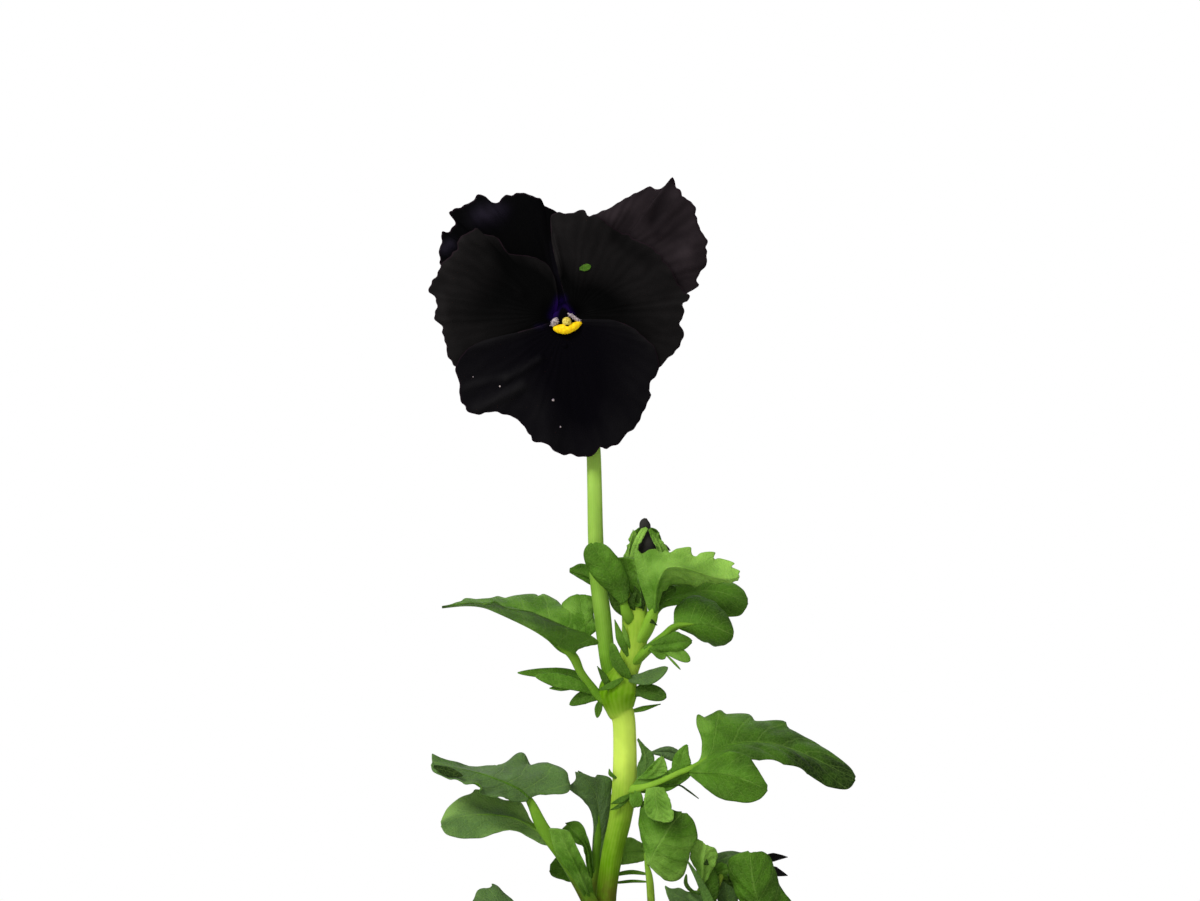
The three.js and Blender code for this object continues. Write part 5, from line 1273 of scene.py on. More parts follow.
LEAF_LOW_MIDDLE = Leaf(
    "leaf_low_middle",
    stalk=[(13.8, -0.8, 103, 1.1), (18.6, -2.6, 105.4, 1), (24.6, -3, 109.4, 0.9), (24, -3.8, 111.4, 0.6),
           (21, -4.9, 114, 0.2)],
    blades=[Blade(
        rib=[(25, -3.4, 110.4), (22, -4.6, 113.4), (17, -6, 116), (13.6, -7.8, 117.8), (11.1, -8.4, 119.4)],
        left=[(25.2, -4.2, 109.4), (21.6, -7, 110), (16.8, -9, 111.6), (13, -9.4, 114.8),
              (11.4, -8.8, 118.2)],
        right=[(24.6, -2.6, 111.4), (21.6, -2.6, 116.6), (18, -3.4, 118.5), (15.6, -4.4, 118.7),
               (14, -5, 119.5), (12.4, -6.6, 119.4), (10.9, -7.8, 120.1)],
        tone=(0.3, 0.34), dust=(1, 0), crown=0.6, rows=60, columns=10,
    )],
    lobes=[
        Lobe([(21.6, -4.6, 112.4), (20.4, -5.2, 116.6), (18.2, -5.4, 121.4), (15.4, -5.3, 126)], 2.6,
             (1, 0, 0.4), tone=0.36, widest=0.2, pointed=1, dust=(0.6, 0)),
        Lobe([(18.6, -5, 118), (16.6, -5.2, 118.9), (15.5, -5.2, 120.4), (15.6, -5.1, 122.4)], 0.9, (1, 0, 1),
             tone=0.1),
    ],
)

LEAF_BEHIND_STEM = Leaf(
    "leaf_behind_stem", stalk=[(-1.7, 1.2, 118.6, 1), (-0.6, 3, 121.6, 0.9), (2.6, 4.7, 126.5, 0.2)],
    blades=[Blade(
        rib=[(0.9, 4.2, 126), (3.2, 4.8, 126.6), (5.8, 5, 126.4), (8, 4.9, 126.1)],
        left=[(1, 4, 123.5), (3.6, 4.4, 123.8), (6.4, 4.6, 124.4), (7.8, 4.8, 125.6)],
        right=[(1.2, 4.6, 128.8), (3.2, 5.4, 129.5), (5.8, 5.4, 128.3), (7.8, 5, 126.8)],
        # Its high tone is painted light on a leaf that lies in the stem's shadow.
        tone=(0.9, 0.8), rows=36, columns=8,
    )],
    lobes=[
        Lobe([(-1, 2.4, 121), (1.2, 3, 121.7), (4, 3.4, 122), (7.4, 3.6, 121.5)], 1.0, (0, 0, 1)),
        Lobe([(-1.4, 2, 119.6), (1.2, 3, 119.8), (4, 3.5, 120), (7.6, 3.8, 119.8)], 0.7, (0, 0, 1)),
    ],
)

PHOTO_LEAVES = (
    LEAF_UPPER_LEFT, LEAF_UPPER_BACK, LEAF_OBLONG, LEAF_CUPPED, LEAF_UPPER_RIGHT, LEAF_RIGHT_BACK,
    LEAF_RIGHT_ROUND, LEAF_MIDDLE_LEFT, LEAF_LOW_LEFT, LEAF_BY_STEM, LEAF_BOTTOM_LEFT, LEAF_MIDDLE_RIGHT,
    LEAF_LOW_FRONT, LEAF_LOW_YELLOW, LEAF_LOW_RIGHT, LEAF_LOW_MIDDLE, LEAF_BEHIND_STEM,
)


@dataclass(frozen=True)
class LowLeaf:
    """One of the low leaves round the plant's foot, below what the photograph shows."""

    bearing: float
    foot: float
    reach: float
    length: float
    width: float
    droop: float = 5.0
    rise: float = 11.0
    centre: float = -0.9
    edge_lift: float = 0.22
    outline: Sequence[Place] = (
        (0, 0.1), (0.08, 0.5), (0.2, 0.84), (0.38, 1), (0.6, 0.96), (0.8, 0.72), (0.93, 0.42), (1, 0.1),
    )

    def place(self, out: float, side: float, up: float) -> Point:
        """Gives the point so far out from the stem, to the side and up.

        Args:
            out: how far out from the stem.
            side: how far to the side.
            up: how far up from the leaf's foot.

        Returns:
            The point.
        """
        turn = math.radians(self.bearing)
        x = self.centre + out * math.cos(turn) - side * math.sin(turn)
        return (x, out * math.sin(turn) + side * math.cos(turn), self.foot + up)

    def leaf(self, number: int) -> Leaf:
        """Works the leaf out from its sizes.

        Args:
            number: which low leaf it is, from 1.

        Returns:
            The leaf.
        """
        rib, left, right = [], [], []
        for along, share in self.outline:
            out = self.reach + self.length * along
            up = self.rise + 2.5 * math.sin(math.pi * min(1, along + 0.25)) - self.droop * along**2
            half = self.width / 2 * share
            rib.append(self.place(out, 0, up))
            left.append(self.place(out, half, up + self.edge_lift * half))
            right.append(self.place(out, -half, up + self.edge_lift * half))
        stalk = [
            (*self.place(1.8, 0, -0.6), 1.2),
            (*self.place(self.reach * 0.5, 0, self.rise * 0.62), 1.2),
            (*self.place(self.reach + 1.5, 0, self.rise + 1.7), 1.0),
        ]
        blade = Blade(rib, left, right, crown=0.7, teeth=6, tooth_depth=1.0, rows=66, columns=9, seed=number)
        return Leaf(f"low_leaf_{number}", stalk, [blade])


@dataclass
class Foliage:
    """Every leaf of the plant, the ones that the photograph shows and the low ones below its edge."""

    thickness: float = 0.4
    shown: Sequence[Leaf] = PHOTO_LEAVES
    low: Sequence[LowLeaf] = (
        LowLeaf(97, 91, 15, 26, 18),
        LowLeaf(62, 95, 17, 25, 17),
        LowLeaf(29, 91, 18, 27, 17),
        LowLeaf(132, 95, 16, 26, 17),
        LowLeaf(167, 91, 16, 26, 17),
        LowLeaf(-66, 95, 16, 27, 17),
        LowLeaf(-104, 91, 16, 26, 18),
        LowLeaf(-145, 94, 17, 26, 17),
        LowLeaf(-32, 91, 18, 26, 15),
    )

    def build(self, finishes: Finishes) -> None:
        """Makes every leaf."""
        for leaf in (*self.shown, *(low.leaf(number) for number, low in enumerate(self.low, start=1))):
            leaf.build(self.thickness, finishes)


@dataclass
class Stems:
    """The main stem with its ragged stipules, the two side stems and the flower's stalk."""

    lobe_thickness: float = 0.4
    ridge: float = 0.035
    twist: float = 0.15
    main: Stalk = ((0, 0, 71, 2.5, 0.1), (-0.2, 0, 86, 2.5, 0.1), (-1.4, 0, 98, 2.35, 0.1),
                   (-2.3, 0, 109, 2.5, 0.1), (-1.9, 0, 118, 2.25, 0.02), (-0.5, 0, 127, 2.35, 0.08),
                   (1.1, 0, 134, 2.5, 0.16), (2, 0, 140.5, 2.7, 0.36), (2.2, 0, 147, 2.6, 0.84),
                   (2.1, 0, 154, 2.5, 0.8), (1.8, 0, 156.6, 2.6, 0.66), (1.2, 0, 158.2, 3.1, 0.1),
                   (0.8, 0, 161.5, 4.3, 0.03), (1.3, 0, 164, 3.9, 0.12), (2.6, 0.2, 167, 2.8, 0.26),
                   (4, 0.3, 171, 2.7, 0.36), (4.6, 0.4, 176, 3.0, 0.34), (4.4, 0.5, 180, 2.8, 0.3),
                   (4.4, 0.9, 184, 2.2, 0.04), (4.7, 1, 188, 1.3, 0.0), (4.8, 1, 191, 0.5, 0.0))
    right: Stalk = ((9, 1, 71, 1.8, 0.1), (10, 0.6, 88, 1.8, 0.1), (12, 0, 97, 1.7, 0.1),
                    (14.6, -0.6, 105, 1.6, 0.1), (16.6, -1, 112, 1.2, 0.2), (17, -1.2, 117.5, 0.9, 0.3))
    left: Stalk = ((-8, -1, 71, 1.7, 0.1), (-8.8, -1.6, 88, 1.7, 0.1), (-10.6, -3.4, 96, 1.6, 0.1),
                   (-12.6, -5, 102.5, 1.3, 0.2))
    flower: Stalk = ((0.6, 0.6, 162, 1.8, 0.0), (-1.1, 0.9, 167, 1.8, 0.1), (-2, 1.1, 172, 1.75, 0.2),
                     (-2.9, 1.8, 180, 1.85, 0.3), (-3.9, 2.8, 188, 1.75, 0.36), (-4.3, 3.8, 197, 1.7, 0.56),
                     (-4.5, 5, 207, 1.65, 0.66), (-4.8, 7, 216, 1.6, 0.6), (-5.8, 9.6, 226, 1.5, 0.6),
                     (-7.6, 12.2, 236, 1.45, 0.5), (-9.4, 13.6, 242.4, 1.4, 0.4),
                     (-10.6, 12.2, 245.8, 1.35, 0.3), (-11, 6.8, 245.2, 1.3, 0.3))
    stipules: Sequence[Lobe] = (
        Lobe([(2.6, -2.6, 165), (6, -4.4, 165.1), (8.6, -5, 165.9), (11.5, -5.5, 167.7)], 3.2, (0, 0.2, 1),
             tone=0.3, pointed=0.3, dust=(0.8, 0)),
        Lobe([(3.4, -2.6, 164.6), (2.2, -3.9, 166.4), (0.4, -4.3, 169), (-0.7, -4.2, 173)], 2.6, (-1, 0, 0.2),
             tone=0.42),
        Lobe([(4, -2, 161.6), (6, -2.6, 162.4), (8.6, -3.6, 161.9), (11.2, -4.4, 161)], 3.6, (0, 0.3, 1),
             tone=0.24),
        Lobe([(3, 0, 157.6), (6.4, -0.4, 158.4), (10, -1, 159.4)], 1.2, (0, 0.3, 1), tone=0.5, widest=0.5,
             pointed=1),
        Lobe([(-1, -3.4, 162), (-2.2, -3.8, 165), (-3.9, -3.4, 167.8)], 1.5, (1, 0, 0), tone=0.3, pointed=1),
        Lobe([(1.8, -4, 165.2), (-0.6, -4.6, 163.8), (-3.7, -4.5, 162.6)], 1.5, (0, 0.2, 1), tone=0.36,
             pointed=0.7),
        Lobe([(2.8, -2.2, 170), (1.3, -2.6, 173.5), (-0.1, -2.8, 178)], 1.9, (1, 0.2, 0), tone=0.4,
             pointed=1),
        Lobe([(3.6, -2, 171), (2.4, -2.6, 174.2), (1.8, -3, 177)], 1.0, (1, 0.2, 0), tone=0.5, pointed=1),
        Lobe([(5.6, -1.6, 180.2), (5.3, -2.8, 182.6), (4.2, -3.4, 185.4)], 1.8, (1, 0, 0.2), tone=0.02,
             pointed=0.8),
        Lobe([(4.2, -2, 180), (3.6, -3.2, 182), (4.8, -3.6, 184.4)], 1.6, (1, 0, 0), tone=0.06, pointed=0.8),
        Lobe([(2.4, -1.8, 178.8), (0.8, -2.8, 181.4), (-0.7, -3.4, 185)], 3.2, (1, 0, 0.4), tone=0.2),
        Lobe([(6.4, -2.4, 176.8), (7.6, -3.6, 177.8), (9.2, -4, 176.8)], 1.0, (0, 0, 1), tone=-0.1,
             pointed=1),
        Lobe([(6.2, -2.2, 180), (6.2, -3, 183.6), (5.4, -3.6, 187.4)], 1.0, (1, 0, 0), tone=-0.1, pointed=1),
        Lobe([(3.4, -2.4, 139.6), (1.6, -3.2, 138.6), (-0.9, -3.2, 137.6)], 1.3, (0, 0.2, 1), tone=0.3,
             pointed=0.8),
        Lobe([(3.2, -2.4, 138.8), (1, -3.3, 137.2), (-1.2, -3.3, 136.2)], 0.8, (0, 0.2, 1), tone=0.2,
             pointed=1),
        Lobe([(3.6, -2.2, 140), (4.2, -3.4, 138.4), (4.2, -3.7, 136.8)], 2.2, (1, 0, 0), tone=0.4,
             pointed=0.4),
        Lobe([(0.6, -1.6, 143), (-0.9, -2, 144), (-1.3, -1.8, 145.2)], 0.9, (1, 0, 0.4), tone=0.3, pointed=1),
    )
    bracts: Sequence[Lobe] = (
        Lobe([(-6.2, 10.6, 229.5), (-4.4, 11, 231), (-3.2, 11.6, 233.4)], 1.5, (0, 1, 0)),
        Lobe([(-6.6, 11, 231.5), (-8, 12.4, 232.6), (-9, 13.4, 234.8)], 1.5, (0, 1, 0)),
    )

    def build(self, finishes: Finishes) -> None:
        """Makes the four stems.

        Args:
            finishes: the finishes of the plant and its pot.
        """
        jobs = (
            ("main_stem", "stem", self.main, self.stipules, 5, 28),
            ("right_stem", "stem", self.right, (), 4, 20),
            ("left_stem", "stem", self.left, (), 4, 20),
            ("flower_stalk", "flower_stalk", self.flower, self.bracts, 4, 24),
        )
        for node, skin, path, lobes, ridges, sides in jobs:
            growth = Growth(f"grown_{node}")
            for lobe in lobes:
                lobe.grow(growth, self.lobe_thickness)
            growth.stalk(path, sides=sides, ridges=ridges, ridge=self.ridge, twist=self.twist)
            growth.finish(node, "stem", [finishes["leaf"], finishes[skin]])


# The flower


@dataclass(frozen=True)
class Fold:
    """A soft ridge on a petal, along a straight line seen from the front. A lift below 0 makes a hollow. Its
    bloom
    is painted light: a painted highlight along the ridge, and below 0 a dark streak of painted shade."""

    start: Place
    end: Place
    width: float
    lift: float
    bloom: float

    def share(self, x: np.ndarray, z: np.ndarray) -> np.ndarray:
        """Says how much of the fold stands at each point, from 0 to 1.

        Args:
            x: the points' places across.
            z: the points' heights.

        Returns:
            The share at each point.
        """
        run = np.subtract(self.end, self.start)
        right, up = x - self.start[0], z - self.start[1]
        along = np.clip((right * run[0] + up * run[1]) / max(run.dot(run), 1e-6), 0, 1)
        away = np.hypot(right - along * run[0], up - along * run[1])
        return np.exp(-((away / self.width) ** 2))


@dataclass(frozen=True)
class Petal:
    """One petal: a thin sheet from its claw at the throat to its ruffled margin. Its bloom is how much light
    its velvet gives back at the claw and at the margin, painted into the colour: painted sheen, paler on a
    lit petal and darker on one in shade. Its first finish is its own, and the others are for what stands on
    it."""

    node: str
    finishes: Sequence[str]
    layer: float
    claw: Place
    ruffles: int
    ruffle: float
    bloom: Place
    folds: Sequence[Fold]
    margin: Sequence[Place]
    seed: int
    around: int = 220
    outward: int = 52


# A fold's last number is its bloom: a painted highlight along a ridge, and below 0 painted shade in a hollow.
PETALS = (
    Petal(
        "petal_lower", finishes=("petal_blue_black", "golden_lip", "beard"), layer=-1, claw=(-10.8, 243.2),
        ruffles=7, ruffle=1.4, bloom=(0.0, 0.34),
        folds=[
            Fold((-31, 238), (-16, 242.8), 0.9, 0.5, 0.3),
            Fold((-30.4, 224.2), (-20.3, 229.2), 1.1, 0.9, 0.5),
            Fold((-24, 230.6), (-16.5, 235.2), 0.8, 0.6, 0.26),
            Fold((-33, 229), (-24, 231.4), 0.8, 0.5, 0.24),
            Fold((-8, 243.8), (2.4, 243.2), 1.0, 0.4, 0.22),
            Fold((2.4, 243.2), (8.2, 238.4), 1.1, 0.5, 0.45),
            Fold((-11, 236), (-6, 224), 6.0, -0.6, -0.3),
            Fold((-18, 226), (-14, 218), 2.4, 0.5, 0.16),
            Fold((-2, 224), (2, 219), 2.2, 0.5, 0.14),
        ],
        margin=[(-14, 243.4), (-16, 242.6), (-20, 241.4), (-24, 240.3), (-28, 239.5), (-31, 238.3),
                (-33.4, 236.4), (-34.9, 233.9), (-34.9, 232), (-34.2, 229), (-34.1, 226.3), (-33, 225),
                (-32.6, 223.8), (-30, 222.9), (-27.8, 223.7), (-24, 222.9), (-22, 222.3), (-19.9, 220.3),
                (-18.5, 218), (-18.3, 217.2), (-15.2, 216.7), (-13.5, 215), (-12, 214.3), (-9, 214.1),
                (-5.3, 213.6), (-4, 215), (-3.2, 215.9), (-1.5, 215.6), (1, 216.8), (2.8, 219), (4.6, 220.5),
                (6, 222.8), (6.9, 225.3), (8, 227.2), (7.5, 228.3), (8, 230.3), (9.3, 232), (9.6, 235),
                (8.7, 237.7), (7, 239.4), (5.5, 240.7), (4, 242), (0, 243.6), (-3, 243.9), (-8.4, 243.9)],
        seed=3,
    ),
    Petal(
        "petal_side_right", finishes=("petal_black", "leaf"), layer=0, claw=(-9.2, 244.8), ruffles=6,
        ruffle=1.1, bloom=(0.06, 0.68),
        folds=[
            Fold((-13.2, 262), (-12.2, 254), 0.8, 0.7, 0.4),
            Fold((-9.4, 262), (-7, 257), 4.0, 0.5, 0.2),
            Fold((-12.8, 254.6), (-10.4, 248), 2.2, 0, -0.45),
            Fold((-5, 249.5), (2, 246.5), 2.6, -0.6, -0.25),
            Fold((4, 249), (9, 251), 3.6, 0.6, 0.16),
            Fold((1, 262), (8, 257), 1.8, -0.7, -0.3),
        ],
        margin=[(-10, 240.6), (-2, 236.4), (4, 234), (9, 233.2), (11, 234.8), (12.7, 236.2), (14.3, 238.4),
                (15.2, 241), (14.3, 243.4), (15.2, 245.3), (15.1, 247.5), (16, 248.1), (16.4, 249.3),
                (14.8, 250.5), (13.5, 253), (11.6, 256), (9.3, 259), (6, 261), (3, 262.5), (0, 264),
                (-3.5, 266.5), (-5.9, 267), (-7, 268.1), (-10, 267.3), (-12.4, 267.6), (-14, 267),
                (-14.1, 264), (-13.9, 261), (-13.3, 258), (-12, 252.6), (-10.9, 248)],
        seed=5,
    ),
    Petal(
        "petal_side_left", finishes=("petal_black",), layer=0, claw=(-13, 244.8), ruffles=6, ruffle=1.1,
        bloom=(-0.02, 0.66),
        folds=[
            Fold((-33.4, 262), (-29, 261.6), 2.2, 1.1, 0.16),
            Fold((-37, 255.5), (-33.6, 259.5), 2.6, 0.7, 0.22),
            Fold((-17, 256.4), (-12.6, 250), 1.1, 0.5, 0.06),
            Fold((-25.5, 259.5), (-14, 251), 4.2, 0, -0.42),
            Fold((-23, 253), (-28, 247), 4.4, -0.5, -0.2),
            Fold((-38, 249), (-37, 243), 1.6, 0.7, 0.2),
            Fold((-27, 257), (-21, 250), 1.6, 0.6, 0.12),
        ],
        margin=[(-12.5, 247.6), (-13, 252), (-14.7, 255.8), (-18.4, 257.8), (-23.5, 258.6), (-26, 262),
                (-29, 262.8), (-30.6, 263.9), (-34, 262), (-34.9, 259.3), (-36, 258.4), (-38.2, 256),
                (-39.5, 253.6), (-41.1, 250.5), (-40, 249.2), (-39.1, 246.7), (-40, 244.2), (-38.3, 242.8),
                (-37.7, 240), (-36.9, 236.5), (-35.6, 234), (-33, 232.8), (-27, 233), (-21, 234.4),
                (-16.6, 237.6), (-13.6, 241)],
        seed=7,
    ),
    Petal(
        "petal_upper_right", finishes=("petal_dusky",), layer=1, claw=(-9.8, 246.4), ruffles=6, ruffle=1.3,
        bloom=(0.42, 0.5),
        folds=[
            Fold((-1, 267), (11, 272.6), 2.4, 0.9, 0.34),
            Fold((12.9, 274.8), (8.6, 266.4), 1.7, -1.0, -0.34),
            Fold((16, 258), (17, 265), 2.4, 0.6, 0.24),
            Fold((10, 262), (16, 262), 1.2, -0.4, -0.15),
        ],
        margin=[(-6.4, 245.8), (4, 246.6), (12, 248.2), (17.9, 251), (18.2, 252.5), (18.8, 254.5),
                (20.3, 256.5), (20.2, 259.8), (20.4, 261), (19.4, 263.2), (17.9, 266.5), (17.9, 268.3),
                (16.9, 270.2), (14.8, 271.2), (14.7, 272), (13.2, 274.5), (12.7, 275.6), (11.5, 274),
                (9.3, 272.8), (8, 273.4), (5, 272.2), (2.5, 270.8), (-2, 268.2), (-5.9, 266.6), (-8.8, 264),
                (-10, 259), (-10.4, 252)],
        seed=11,
    ),
    Petal(
        "petal_upper_left", finishes=("petal_lilac_black",), layer=2, claw=(-12.4, 246.4), ruffles=7,
        ruffle=1.3, bloom=(0.0, 0.03),
        folds=[
            Fold((-29.6, 267), (-27.4, 267.2), 2.2, 1.2, 0.62),
            Fold((-25.2, 268.6), (-24.6, 268.4), 1.4, 0.6, 0.4),
            Fold((-37.6, 259.8), (-36.4, 260.6), 1.3, 0.6, 0.6),
            Fold((-12.6, 260), (-11.6, 249), 1.6, 0, 0.3),
        ],
        margin=[(-6, 248.6), (-4.6, 256), (-6, 262), (-10.4, 266.4), (-13.6, 268.3), (-15.4, 269),
                (-16.4, 270.6), (-19, 271.7), (-21.7, 272), (-24.8, 271.2), (-25.6, 270), (-27, 269.8),
                (-29.4, 271.7), (-31.7, 270.3), (-34, 269.1), (-36, 268.3), (-36.6, 267.6), (-35.3, 265.2),
                (-37, 263.4), (-38.4, 263.6), (-38.3, 261.5), (-38.8, 259), (-38.5, 256.1), (-35, 254),
                (-31, 252.4), (-22, 248.8), (-15.6, 246.6)],
        seed=13,
    ),
)


@dataclass
class Flower:
    """The open flower: five velvet petals round a golden throat, the pistil, and the calyx behind them."""

    throat: Point = (-11, 0, 244.4)
    hub_radius: float = 3.4
    hub_squash: float = 0.8
    hub_depth: float = 5.2
    sepal_bearings: Sequence[float] = (90, 162, 234, 306, 18)
    sepal_width: float = 4.4
    layer_step: float = 1.5
    thickness: float = 0.36
    claw_radius: float = 0.9
    claw_reach: float = 5.0
    claw_gap: float = 0.54
    recurve: float = 0.003
    crinkle: float = 0.3
    crinkle_waves: int = 34
    flutter: float = 0.22
    flutter_waves: int = 16
    vein_height: float = 0.04
    vein_count: int = 24
    halo_bands: Sequence[Fold] = (
        Fold((-11.9, 248.2), (-13.5, 244.9), 0.95, 0, 1.0),
        Fold((-11.9, 248.2), (-9.6, 245.4), 0.6, 0, 0.8),
        Fold((-17.2, 242.3), (-15.8, 242.5), 0.6, 0, 0.14),
    )
    mouth: Fold = Fold((-11.2, 245.4), (-11, 243), 0.85, 0, 1.0)
    stigma: Place = (-10.6, 243.4)
    stigma_radius: float = 1.0
    plug: Sequence[Place] = ((1.2, 0.3), (1.35, 1.9), (1.8, 2.9), (3.0, 3.3), (4.4, 3.5), (4.7, 2.6))
    spur: Path = ((-1.1, 238.4, 0.7), (3, 237.4, 1.1), (7, 237, 1.2), (10.6, 237, 1.1), (11.5, 237, 0.4))
    lip: Stalk = (
        (-13.4, -1.3, 242, 0.5), (-12.3, -1.7, 241.8, 0.95), (-10.8, -1.9, 241.8, 1.15),
        (-9.3, -1.8, 242.2, 0.95), (-8.2, -1.6, 242.8, 0.7), (-7.4, -1.3, 243.2, 0.3),
    )
    beards: Sequence[Stalk] = (
        (
            (-13.9, -1.2, 242.5, 0.35), (-13.4, -1.3, 243.1, 0.75), (-13, -1, 243.7, 0.7),
            (-12.8, -0.6, 244.2, 0.3),
        ),
        (
            (-10.4, -0.7, 245.3, 0.16), (-9.4, -1, 244.6, 0.4), (-8.3, -1.3, 243.8, 0.42),
            (-7.6, -1.2, 243.3, 0.2),
        ),
    )
    hairs: int = 26
    hair_seed: int = 8
    leaf_crumb: Sequence[Place] = ((-7.8, 255), (-6.6, 255.3), (-5.3, 255.7))
    pollen: Path = ((-31.2, 231.3, 0.13), (-25.3, 229.2, 0.2), (-13.6, 226.2, 0.3), (-12, 220.3, 0.2))
    petals: Sequence[Petal] = PETALS

    def claw_depth(self, claw: Place) -> float:
        """Says how far back a claw ends, just in front of the hub."""
        distance = math.hypot(claw[0] - self.throat[0], claw[1] - self.throat[2])
        return self.hub_depth - self.hub_squash * math.sqrt(self.hub_radius**2 - distance**2) - self.claw_gap

    def petal_grid(self, petal: Petal) -> tuple[np.ndarray, np.ndarray]:
        """Lays out a petal's middle surface.

        Args:
            petal: which petal.

        Returns:
            Points in mm, around by outward by 3, and how far out each point is, from 0 to 1.
        """
        around = np.linspace(0, 1, petal.around + 1)
        margin = evenly_through(petal.margin, petal.around + 1)
        claw = np.asarray(petal.claw)
        ray = margin - claw
        length = np.linalg.norm(ray, axis=1, keepdims=True)
        free = np.sin(math.pi * around)
        wander = self.crinkle * free * smooth_noise(around, self.crinkle_waves, petal.seed)
        margin = margin + ray / length * wander[:, None]
        start = self.claw_radius / length
        share = np.linspace(0, 1, petal.outward + 1)[None, :] ** 1.3
        out = start + (1 - start) * share
        flat = claw + out[..., None] * (margin[:, None, :] - claw)
        distance = np.hypot(flat[..., 0] - self.throat[0], flat[..., 1] - self.throat[2])
        reach = np.hypot(flat[..., 0] - claw[0], flat[..., 1] - claw[1])
        bend = np.maximum(0, 1 - reach / self.claw_reach) ** 2
        wave = 0.5 + 0.5 * np.sin(FULL_TURN * petal.ruffles * around)[:, None]
        flutter = self.flutter * smooth_noise(around, self.flutter_waves, petal.seed + 1)[:, None]
        vein = self.vein_height * np.sin(FULL_TURN * self.vein_count * around + 3 * petal.seed)[:, None]
        lying = petal.layer * self.layer_step + self.recurve * distance**2
        depth = lying + bend * (self.claw_depth(petal.claw) - lying)
        depth = depth - petal.ruffle * wave * free[:, None] * out**4
        depth = depth + flutter * free[:, None] * out**6 + vein * out**0.5 * (1 - bend)
        for fold in petal.folds:
            depth = depth - fold.lift * fold.share(flat[..., 0], flat[..., 1]) * (1 - bend)
        return np.stack([flat[..., 0], depth, flat[..., 1]], axis=-1), out

    def bloom(self, grid: np.ndarray, out: np.ndarray, petal: Petal) -> np.ndarray:
        """Says how much light the velvet gives back over a petal, as painted sheen: it rises towards the
        margin, with painted highlights on the folds' ridges and painted shade in their hollows.

        Args:
            grid: the petal's points.
            out: how far out each point is, from 0 to 1.
            petal: which petal.

        Returns:
            The bloom at each point.
        """
        rise = np.clip(out * 1.15 - 0.1, 0, 1) ** 1.3
        bloom = petal.bloom[0] + (petal.bloom[1] - petal.bloom[0]) * rise
        # Painted highlights along the folds' ridges, and painted shade where a fold's bloom is below 0.
        for fold in petal.folds:
            bloom = bloom + fold.bloom * fold.share(grid[..., 0], grid[..., 2])
        return np.clip(bloom, 0, 1.3)

    def front(self, grid: np.ndarray, x: float, z: float) -> float:
        """Gives the y of a petal's front at a place seen from the front."""
        nearest = np.argmin(np.hypot(grid[..., 0] - x, grid[..., 2] - z))
        return float(grid[..., 1].flat[nearest]) - self.thickness / 2

    def halo(self, points: np.ndarray) -> np.ndarray:
        """Says where the purple halo lies: two bands from above the mouth, and a smear to its left.

        Args:
            points: the points asked about.

        Returns:
            The halo's strength at each point, from 0 to 1.
        """
        x, z = points[:, 0], points[:, 2]
        bands = [band.bloom * band.share(x, z) for band in self.halo_bands]
        return np.clip(np.max(bands, axis=0) - 1.4 * self.mouth.share(x, z), 0, 1)

    def build_throat(self, growth: Growth) -> None:
        """Makes the nectar spur under the hub, the dark plug behind the claws and the golden lip. The plug is
        painted shade: a near-black body that fills the deep throat.

        Args:
            growth: what the meshes are added to.
        """
        x, _, z = self.throat
        growth.stalk([(x, *stop) for stop in self.spur], tissue=Tissue.FLESH)
        # Painted shade: the near-black plug fills the throat behind the claws, where a flower's deep throat
        # lies in shade.
        growth.stalk([(x, y, z, radius) for y, radius in self.plug], sides=24, tissue=Tissue.FLESH)
        growth.stalk(self.lip, sides=24, steps=40)

    def build_pollen(self, growth: Growth, grid: np.ndarray) -> None:
        """Lays a few pollen grains on a petal's front.

        Args:
            growth: what the meshes are added to.
            grid: the points of the petal's front.
        """
        for x, z, radius in self.pollen:
            y = self.front(grid, x, z)
            shape = ((-radius, 0.4 * radius), (-0.2 * radius, radius), (0.15, 0.4 * radius))
            grain = [(x, y + back, z, thick) for back, thick in shape]
            growth.stalk(grain, sides=8, steps=6, tissue=Tissue.HOLLOW)

    def build_petals(self, finishes: Finishes) -> None:
        """Makes the five petals.

        Args:
            finishes: the finishes of the plant and its pot.
        """
        for petal in self.petals:
            growth = Growth(f"grown_{petal.node}")
            grid, out = self.petal_grid(petal)
            share = np.linspace(0, 1, petal.outward + 1)[None, :]
            thin = self.thickness * (0.5 + 0.5 * np.sqrt(1 - share**8)) * np.ones((petal.around + 1, 1))
            growth.sheet(grid, thin, marks={"bloom": self.bloom(grid, out, petal)})
            if petal.node == "petal_lower":
                self.build_throat(growth)
                self.build_pollen(growth, grid)
            growth.paint("halo", self.halo)
            if petal.node == "petal_side_right":
                points = [(x, self.front(grid, x, z) - 0.1, z) for x, z in self.leaf_crumb]
                Lobe(points, 1.5, tone=0.16).grow(growth, 0.3, Tissue.STALK)
            growth.finish(petal.node, "petal", [finishes[name] for name in petal.finishes])

    def build_stigma(self, growth: Growth) -> None:
        """Makes the style and its round stigma with the slit under it.

        Args:
            growth: what the meshes are added to.
        """
        x, z = self.stigma
        radius = self.stigma_radius
        style = [(self.throat[0], 1.9, self.throat[2], 0.5), (x, 0.4, z, 0.45), (x, -1.9, z, 0.5)]
        growth.stalk(style, sides=12, tissue=Tissue.FLESH)
        turns = np.linspace(0, math.pi, 13)[::-1]
        ball = [(x, -2.4 - 0.9 * radius * math.cos(turn), z, radius * math.sin(turn)) for turn in turns]
        growth.stalk(ball, sides=24, steps=24, tissue=Tissue.FLESH)
        # The slit is a dark body on the stigma's lower face: painted shade for the opening under the stigma.
        stops = ((-1, 1), (-0.5, 0.5), (0, 0), (0.5, 0.5), (1, 1))
        slit = [(x + 0.1 + 0.5 * a, -3 + 0.25 * b, z - 0.84, 0.15 - 0.11 * b) for a, b in stops]
        growth.stalk(slit, sides=8, tissue=Tissue.HOLLOW)

